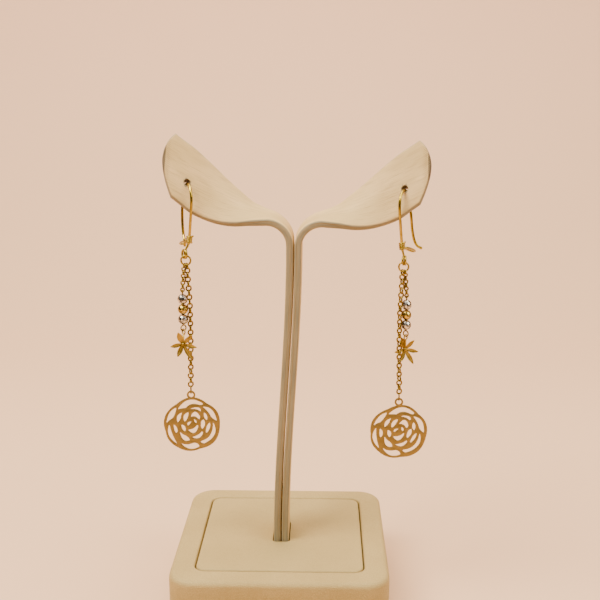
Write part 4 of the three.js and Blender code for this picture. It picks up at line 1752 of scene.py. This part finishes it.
@dataclass
class BeadString:
    """Three beads on a pin that hangs from the fine chain and carries the charm."""

    chain_foot: Vector
    hang: Hang
    chain_wire: float = FINE_WIRE
    bead_height: float = 2.7
    bead_gap: float = 0.13
    pin: float = 0.18
    top_loop: float = 0.42
    bottom_loop: float = 0.8
    rest: float = REST

    def __post_init__(self) -> None:
        """Works out where the loops and beads are."""
        self.top = self.chain_foot - UP * (self.top_loop - self.pin - self.chain_wire - self.rest)
        self.pin_top = self.top.z - self.top_loop
        row_top = self.pin_top - self.pin - self.bead_gap
        pitch = self.bead_height + self.bead_gap
        heights = [row_top - self.bead_height - i * pitch for i in range(3)]
        self.feet = [Vector((self.top.x, self.top.y, height)) for height in heights]
        low = row_top - 3 * pitch - self.pin - self.bottom_loop
        self.bottom = Vector((self.top.x, self.top.y, low))
        self.turn = -self.hang.side.value * math.radians(40)

    def build_pin(self, name: str, material: bpy.types.Material) -> bpy.types.Object:
        """Makes the pin with its two loops.

        Args:
            name: The piece's name.
            material: Its metal.

        Returns:
            The pin.
        """
        foot = self.bottom + UP * self.bottom_loop
        rod = [Vector((foot.x, foot.y, self.pin_top + 0.1)), foot.lerp(self.top, 0.5), foot - UP * 0.1]
        skin = wire_skin(rod, self.pin, 10)
        top = loop_path(self.top, self.top_loop, self.top_loop, math.pi / 2, 24)
        skin.add(wire_skin(top, self.pin, 10, closed=True))
        bottom = loop_path(self.bottom, self.bottom_loop, self.bottom_loop, self.turn, 30)
        skin.add(wire_skin(bottom, self.pin, 10, closed=True))
        made = make_object(name, skin)
        made.data.materials.append(material)
        return made


@dataclass(frozen=True)
class Petal:
    """A petal: degrees from straight up, and shares of the usual length and width."""

    turn: float
    length: float
    width: float


@dataclass
class Flower:
    """Charm with a small bud and narrow petals, hung by a bail."""

    string: BeadString
    length: float = 4.1
    width: float = 1.25
    thickness: float = 0.34
    lift: float = 0.9
    hollow: float = 0.34
    vein: float = 0.12
    vein_width: float = 0.16
    bud: float = 0.55
    bail: float = 0.72
    petals: tuple[Petal, ...] = (
        Petal(20, 0.92, 1.35),
        Petal(-43, 0.88, 1.0),
        Petal(-103, 0.95, 0.9),
        Petal(-151, 1.2, 1.05),
        Petal(155, 0.9, 1.1),
        Petal(97, 0.85, 0.95),
    )

    def _petal(self, petal: Petal) -> Skin:
        """One petal from the origin upwards, hollow towards the viewer and veined.

        Args:
            petal: Its proportions.

        Returns:
            Its skin.
        """
        reach = self.length * petal.length
        steps, across = 16, 8
        rings = []
        for i in range(steps + 1):
            share = i / steps
            wide = 0.2 + 0.8 * math.sin(math.pi * (0.1 + 0.78 * share)) ** 1.6
            wide *= math.sqrt(max(1 - share**9, 0.02))
            half = self.width * petal.width * wide / 2
            thick = self.thickness * (0.5 + 0.5 * wide)
            y = -self.lift * share**2
            z = reach * share
            upper, lower = [], []
            for k in range(across + 1):
                side = 2 * k / across - 1
                rim = (1 - side**2) ** 0.5
                ridge = self.vein * math.exp(-((side / self.vein_width) ** 2))
                hollow = -self.hollow * side**2 * wide - ridge
                upper.append(Vector((half * side, y + hollow - thick * rim * 0.5, z)))
                lower.append(Vector((half * side, y + hollow + thick * rim * 0.5 + 0.02, z)))
            rings.append(upper + list(reversed(lower[1:-1])))
        return ring_skin(rings)

    def build(self, name: str, material: bpy.types.Material) -> bpy.types.Object:
        """Makes the charm.

        Args:
            name: The piece's name.
            material: Its metal.

        Returns:
            The charm.
        """
        hang, string = self.string.hang, self.string
        bail_top = string.bottom - UP * (string.bottom_loop - 2 * string.pin - string.rest)
        bail = bail_top - UP * self.bail
        centre = bail + Vector((0, -hang.front * hang.charm_back, -hang.charm_drop))
        path = loop_path(bail, self.bail, self.bail, string.turn + math.pi / 2, 26)
        skin = wire_skin(path, string.pin, 10, closed=True)
        foot = bail - UP * self.bail
        skin.add(wire_skin(smooth_path([foot, foot.lerp(centre, 0.5), centre], 8), string.pin * 1.4, 10))
        yaw = Matrix.Rotation(math.radians(hang.flower_turn), 4, "Z")
        for petal in self.petals:
            spin = Matrix.Rotation(math.radians(-petal.turn), 4, "Y")
            skin.add(self._petal(petal).moved(Matrix.Translation(centre) @ yaw @ spin))
        skin.add(self._bud(centre - yaw @ Vector((0, 0.25, 0))))
        made = make_object(name, skin, sharp=50)
        made.data.materials.append(material)
        return made

    def _bud(self, centre: Vector) -> Skin:
        """Makes the round bud.

        Args:
            centre: Its middle.

        Returns:
            Its skin.
        """
        across, side = Vector((1, 0, 0)), Vector((0, 1, 0))
        rings = []
        for i in range(1, 10):
            angle = -math.pi / 2 + math.pi * i / 10
            middle = centre + UP * self.bud * math.sin(angle)
            small = self.bud * math.cos(angle)
            rings.append([_round_point(middle, across, side, small, k / 18) for k in range(18)])
        return ring_skin(rings)


@dataclass(frozen=True)
class ChartLoop:
    """A loop of the rose's chart, in hundredths of its radius.

    It has corners, and a point that each side bends through.
    """

    corners: tuple[tuple[float, float], ...]
    through: tuple[tuple[float, float], ...]

    def points(self, radius: float, facet: float, grow: float) -> list[Vector]:
        """The loop's points.

        Args:
            radius: The rose's radius.
            facet: Length of a step along a side.
            grow: How far the loop is moved outwards.

        Returns:
            Points in the XY plane.
        """
        made = []
        for i, corner in enumerate(self.corners):
            first = Vector((*corner, 0)) * radius / 100
            last = Vector((*self.corners[(i + 1) % len(self.corners)], 0)) * radius / 100
            control = 2 * Vector((*self.through[i], 0)) * radius / 100 - (first + last) / 2
            steps = max(3, round(((control - first).length + (last - control).length) / facet))
            for k in range(steps):
                t = k / steps
                made.append(first * (1 - t) ** 2 + control * 2 * t * (1 - t) + last * t**2)
        pairs = list(zip(made[-1:] + made[:-1], made[1:] + made[:1]))
        turn = math.copysign(1.0, sum(p.cross(after).z for p, (_, after) in zip(made, pairs)))
        moved = []
        for point, (before, after) in zip(made, pairs):
            way = (after - before).normalized()
            moved.append(point + Vector((way.y, -way.x, 0.0)) * grow * turn)
        return moved


ROSE_OUTLINE = ChartLoop(
    ((-52, 77), (56, 79), (100, 2), (28, -90), (-52, -86), (-94, -27)),
    ((3, 102), (91, 49), (82, -60), (-12, -99), (-82, -61), (-95, 31)),
)
ROSE_GAPS = (
    ChartLoop(((-48, 57), (40, 80), (28, 75), (-20, 63)), ((-8, 92), (37, 75), (0, 77), (-34, 61))),
    ChartLoop(((40, 67), (89, 15), (69, 31)), ((72, 56), (77, 23), (58, 50))),
    ChartLoop(
        ((75, 10), (80, -34), (42, -70), (31, -62), (68, -34)),
        ((83, -13), (65, -55), (34, -68), (54, -51), (75, -12)),
    ),
    ChartLoop(((-41, -70), (4, -69), (25, -81)), ((-19, -75), (17, -71), (-9, -91))),
    ChartLoop(((-80, -1), (-54, -73)), ((-83, -40), (-70, -39))),
    ChartLoop(((-54, 63), (-90, 5), (-70, 23)), ((-78, 42), (-82, 15), (-60, 41))),
    ChartLoop(((-4, 58), (26, 64), (32, 50)), ((10, 64), (32, 58), (16, 58))),
    ChartLoop(((-34, 45), (-50, 8), (-39, 26)), ((-51, 30), (-44, 17), (-38, 35))),
    ChartLoop(((-65, 0), (-53, -16), (-57, -32)), ((-57, -7), (-53, -25), (-63, -18))),
    ChartLoop(((45, 46), (54, 17)), ((54, 34), (45, 29))),
    ChartLoop(((64, 9), (51, -31), (52, -14)), ((63, -11), (50, -22), (56, -2))),
    ChartLoop(((-43, -27), (-22, -42), (-9, -58)), ((-34, -36), (-14, -49), (-31, -57))),
    ChartLoop(((-1, -47), (36, -25), (38, -31)), ((20, -39), (38, -28), (23, -50))),
    ChartLoop(((-11, 46), (-26, 11), (-15, 29)), ((-27, 33), (-19, 19), (-12, 38))),
    ChartLoop(((-3, 29), (29, 32), (26, 20)), ((12, 48), (29, 26), (12, 31))),
    ChartLoop(((42, 20), (36, -16), (33, 2)), ((46, 2), (33, -8), (35, 13))),
    ChartLoop(((-37, 0), (-24, -9), (-25, -25)), ((-29, -3), (-23, -17), (-34, -16))),
    ChartLoop(((-14, -19), (20, 0), (20, -12)), ((6, -14), (22, -6), (6, -31))),
    ChartLoop(((-1, 12), (-14, -4)), ((-14, 7), (-8, 3))),
    ChartLoop(((8, 21), (15, 6)), ((16, 14), (10, 12))),
)


@dataclass
class Rose:
    """Flat rose pierced through between its petals, with the ring that it hangs by."""

    chain_foot: Vector
    hang: Hang
    radius: float = 7.95
    thickness: float = 0.5
    bevel: float = 0.07
    gap_ease: float = 0.05
    bail_outer: float = 1.2
    bail_inner: float = 0.7
    bail_rise: float = 0.9
    bail_sides: int = 40
    chain_wire: float = LONG_WIRE
    rest: float = REST
    facet: float = 0.28

    def _plate(self, name: str, loops: Sequence[Sequence[Vector]]) -> bpy.types.Object:
        """Flat plate with softened rims, upright in the XZ plane.

        Args:
            name: The object's name.
            loops: Its outline and its gaps.

        Returns:
            The plate.
        """
        curve = bpy.data.curves.new(name, "CURVE")
        curve.dimensions = "2D"
        curve.fill_mode = "BOTH"
        curve.extrude = (self.thickness / 2 - self.bevel) * MM
        curve.bevel_depth = self.bevel * MM
        curve.bevel_resolution = 1
        for loop in loops:
            spline = curve.splines.new("POLY")
            spline.points.add(len(loop) - 1)
            for point, place in zip(spline.points, loop):
                point.co = (place.x * MM, place.y * MM, 0.0, 1.0)
            spline.use_cyclic_u = True
        flat = bpy.data.objects.new(name + "_flat", curve)
        bpy.context.scene.collection.objects.link(flat)
        graph = bpy.context.evaluated_depsgraph_get()
        mesh = bpy.data.meshes.new_from_object(flat.evaluated_get(graph))
        bpy.data.objects.remove(flat)
        mesh.transform(Matrix.Rotation(math.pi / 2, 4, "X"))
        made = bpy.data.objects.new(name, mesh)
        bpy.context.scene.collection.objects.link(made)
        return made

    def build(self, name: str, material: bpy.types.Material) -> bpy.types.Object:
        """Makes the rose and its ring.

        Args:
            name: The piece's name.
            material: Its metal.

        Returns:
            The rose.
        """
        bail = self.chain_foot - UP * (self.bail_inner - self.chain_wire - self.rest)
        loops = [ROSE_OUTLINE.points(self.radius, self.facet, -self.bevel)]
        loops += [gap.points(self.radius, self.facet, self.bevel + self.gap_ease) for gap in ROSE_GAPS]
        made = self._plate(name, loops)
        down = Matrix.Translation(-UP * (self.radius + self.bail_rise) * MM)
        made.data.transform(down @ Matrix.Rotation(math.radians(-self.hang.rose_turn), 4, "Y"))
        circles = []
        for radius in (self.bail_outer - self.bevel, self.bail_inner + self.bevel):
            angles = [2 * math.pi * k / self.bail_sides for k in range(self.bail_sides)]
            circles.append([Vector((math.cos(a), math.sin(a), 0)) * radius for a in angles])
        ring = self._plate("bail", circles)
        finish_mesh(made)
        finish_mesh(ring)
        cut(made, ring, "UNION")
        made.data.transform(Matrix.Translation(bail * MM))
        finish_mesh(made, sharp=35)
        made.data.materials.clear()
        made.data.materials.append(material)
        return made


@dataclass
class Earring:
    """One whole earring."""

    hang: Hang

    def build(self, metals: dict[str, bpy.types.Material], tree: bpy.types.GeometryNodeTree) -> None:
        """Makes its pieces and seats them on the model's bodies.

        Args:
            metals: The finishes by name.
            tree: The tree that strings links.
        """
        word = self.hang.side.word
        hook = EarWire(self.hang)
        ring = hook.eye_centre - UP * (hook.eye + RING_RADIUS - hook.eye_wire - RING_WIRE - hook.rest)
        long_chain = LongChain(
            LONG_ROUTE, ring, self.hang, width=1.45, link=1.776, wire=LONG_WIRE, length=34.4, slack=1.06
        )
        fine_chain = Chain(
            FINE_ROUTE, ring, self.hang, width=1.12, link=1.42, wire=FINE_WIRE, length=7.6, slack=1.08
        )
        string = BeadString(fine_chain.foot, self.hang)
        seat(hook.build(metals["hook"], metals["ring"]), f"ear_wire_{word}")
        seat(JumpRing(ring).build(f"ring_{word}", metals["ring"]), f"jump_ring_{word}")
        chain = long_chain.build(f"rose_chain_{word}", tree, metals["chain"])
        seat(chain, f"long_chain_{word}")
        end = long_chain.build_end(f"rose_link_{word}", metals["chain"])
        seat(end, f"long_chain_{word}")
        fine = fine_chain.build(f"fine_chain_{word}", tree, metals["chain"])
        seat(fine, f"bead_chain_{word}")
        rows = (("top", "silver"), ("middle", "gold"), ("bottom", "silver"))
        for (place, metal), foot in zip(rows, string.feet):
            bead = CutBead(foot, seed=len(place) + self.hang.front)
            made = bead.build(f"cut_bead_{place}_{word}", metals[f"bead_{metal}"])
            seat(made, f"bead_{place}_{word}")
        seat(string.build_pin(f"pin_{word}", metals["chain"]), f"bead_pin_{word}")
        flower = Flower(string).build(f"flower_{word}", metals["flower"])
        seat(flower, f"flower_charm_{word}")
        rose = Rose(long_chain.foot, self.hang).build(f"rose_{word}", metals["rose"])
        seat(rose, f"rose_pendant_{word}", f"rose_{word}")


def seat(made: bpy.types.Object, node: str, body: str = "stand_and_earrings") -> None:
    """Lets a piece stand for a node of the model.

    Args:
        made: The piece.
        node: The node.
        body: The body that it moves with.
    """
    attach(made, body)
    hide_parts(node)
    LOG.info("%s: %d faces for %s", made.name, len(made.data.polygons), node)


# The setting


@dataclass(frozen=True)
class Lamp:
    """Soft square light: its place and aim in millimetres, its width, its power in watts and its colour."""

    name: str
    place: tuple[float, float, float]
    aim: tuple[float, float, float]
    size: float
    power: float
    colour: tuple[float, float, float]

    def build(self) -> None:
        """Adds the light."""
        data = bpy.data.lights.new(self.name, "AREA")
        data.size = self.size * MM
        data.energy = self.power
        data.color = self.colour
        lamp = bpy.data.objects.new(self.name, data)
        lamp.location = Vector(self.place) * MM
        way = Vector(self.aim) - Vector(self.place)
        lamp.rotation_euler = way.to_track_quat("-Z", "Y").to_euler()
        bpy.context.scene.collection.objects.link(lamp)


LAMPS = (
    Lamp("key", (-360, -220, 640), (0, 0, 80), 380, 9.0, (1.0, 0.93, 0.83)),
    Lamp("fill", (520, -160, 420), (0, 0, 80), 420, 3.0, (1.0, 0.93, 0.83)),
    Lamp("top", (40, 120, 700), (0, 0, 60), 500, 6.0, (1.0, 0.95, 0.87)),
)


@dataclass
class Studio:
    """Camera, soft lights and a pale sweep."""

    lens: float = 55.678
    pitch: float = 12.7139
    yaw: float = -1.3993
    camera_place: tuple[float, float, float] = (11.303, -252.743, 145.34)
    reach: float = 2400.0
    wall_start: float = 250.0
    wall_radius: float = 250.0
    wall_top: float = 1200.0

    def build(self) -> None:
        """Sets up the whole setting."""
        self._camera()
        self._sweep()
        self._world()
        for lamp in LAMPS:
            lamp.build()

    def _camera(self) -> None:
        """Puts the camera where the photograph was taken from."""
        data = bpy.data.cameras.new("camera")
        data.lens = self.lens
        data.sensor_width = 36.0
        data.clip_start = 0.005
        camera = bpy.data.objects.new("camera", data)
        camera.location = Vector(self.camera_place) * MM
        camera.rotation_euler = (math.radians(90 - self.pitch), 0.0, math.radians(-self.yaw))
        bpy.context.scene.collection.objects.link(camera)
        bpy.context.scene.camera = camera

    def _sweep(self) -> None:
        """Makes a floor that curves up into a backdrop."""
        radius, steps = self.wall_radius, 12
        rows = [(-self.reach, 0.0), (self.wall_start, 0.0)]
        for k in range(1, steps + 1):
            angle = math.pi / 2 * k / steps
            rows.append((self.wall_start + radius * math.sin(angle), radius - radius * math.cos(angle)))
        rows.append((self.wall_start + radius, self.wall_top))
        skin = Skin()
        for y, z in rows:
            skin.points += [Vector((-self.reach, y, z)), Vector((self.reach, y, z))]
        for i in range(len(rows) - 1):
            skin.faces.append((2 * i, 2 * i + 1, 2 * i + 3, 2 * i + 2))
        floor = make_object("sweep", skin)
        floor.data.materials.append(PalePaper().material())

    def _world(self) -> None:
        """Fills the scene with even light that is a little brighter from above."""
        world = bpy.data.worlds.new("studio")
        world.use_nodes = True
        world.node_tree.nodes.clear()
        graph = Graph(world.node_tree)
        _, _, height = graph.split(graph.node("ShaderNodeTexCoord", output="Generated"))
        stops = [
            (0.0, (0.03, 0.02, 0.01)),
            (0.52, (0.07, 0.05, 0.03)),
            (0.72, (0.5, 0.46, 0.4)),
            (1.0, (1.0, 0.95, 0.88)),
        ]
        sky = graph.node("ShaderNodeValToRGB", {"stops": stops}, {0: height * 0.5 + 0.5})
        light = graph.node("ShaderNodeBackground", {}, {"Color": sky, "Strength": 0.8})
        graph.node("ShaderNodeOutputWorld", {}, {"Surface": light})
        bpy.context.scene.world = world


HANGS = (
    Hang(
        side=Side.LEFT,
        front=1,
        tail=Tail.CLOSED,
        catch_drop=1.7,
        catch_aside=0.3,
        neck_out=0.95,
        charm_back=1.75,
        charm_drop=3.1,
        flower_turn=8,
        rose_turn=0,
    ),
    Hang(
        side=Side.RIGHT,
        front=-1,
        tail=Tail.OPEN,
        catch_drop=1.9,
        catch_aside=1.1,
        neck_out=0.45,
        charm_back=2.1,
        charm_drop=4.0,
        flower_turn=20,
        rose_turn=-11,
    ),
)


def covers() -> dict[str, bpy.types.Material]:
    """Makes the stand's finishes.

    Returns:
        The finishes by name.
    """
    panel = Leatherette(
        "panel_leatherette", tone=(0.43, 0.306, 0.107), pale=(0.46, 0.33, 0.12), pebble=2.6, depth=0.06
    )
    return {
        "strip": StripLeatherette("strip_leatherette").material(),
        "block": Leatherette("base_leatherette").material(),
        "panel": panel.material(),
        # The hole's walls: dark leatherette, painted shade inside the bore.
        "bore_shade": Leatherette("hole_shade", tone=(0.12, 0.07, 0.03), pale=(0.2, 0.12, 0.05)).material(),
    }


def golds() -> dict[str, bpy.types.Material]:
    """Makes the earrings' finishes.

    Returns:
        The finishes by name.
    """
    finishes = {
        # The hook's gold is a lighter copy of the ring's gold, which the sleeve, catch and eye also take:
        # painted light on the long wire and painted shade on its fittings.
        "hook": Gold(
            "hook_gold", tone=(0.50, 0.35, 0.045), deep=(0.2, 0.13, 0.012), roughness=0.16, haze=0.1
        ),
        "ring": Gold("ring_gold", tone=(0.40, 0.28, 0.04), deep=(0.16, 0.10, 0.01)),
        "chain": Gold(
            "chain_gold", tone=(0.23, 0.145, 0.02), deep=(0.09, 0.05, 0.006), roughness=0.2, dents=0.01
        ),
        "flower": Gold("flower_gold", tone=(0.38, 0.25, 0.04), deep=(0.14, 0.08, 0.01), roughness=0.3),
        "rose": Gold("rose_gold", tone=(0.30, 0.205, 0.058), deep=(0.23, 0.15, 0.038), roughness=0.42),
        "bead_silver": CutMetal("cut_silver"),
        "bead_gold": CutMetal("cut_gold", tone=(0.55, 0.38, 0.08), deep=(0.12, 0.07, 0.01)),
    }
    return {name: finish.material() for name, finish in finishes.items()}


def main() -> None:
    """Builds the setting, the stand and the two earrings."""
    logging.basicConfig(level=logging.INFO, format="%(message)s")
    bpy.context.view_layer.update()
    Studio().build()
    cover = covers()
    base = Base()
    seat(base.build_block(cover["block"]), "base_block")
    seat(base.build_panel(cover["panel"]), "base_panel")
    for side in Side:
        seat(Arm(side).build(cover["strip"], cover["bore_shade"]), f"arm_{side.word}")
    metals = golds()
    tree = link_tree()
    for hang in HANGS:
        Earring(hang).build(metals, tree)


if __name__ == "__main__":
    main()
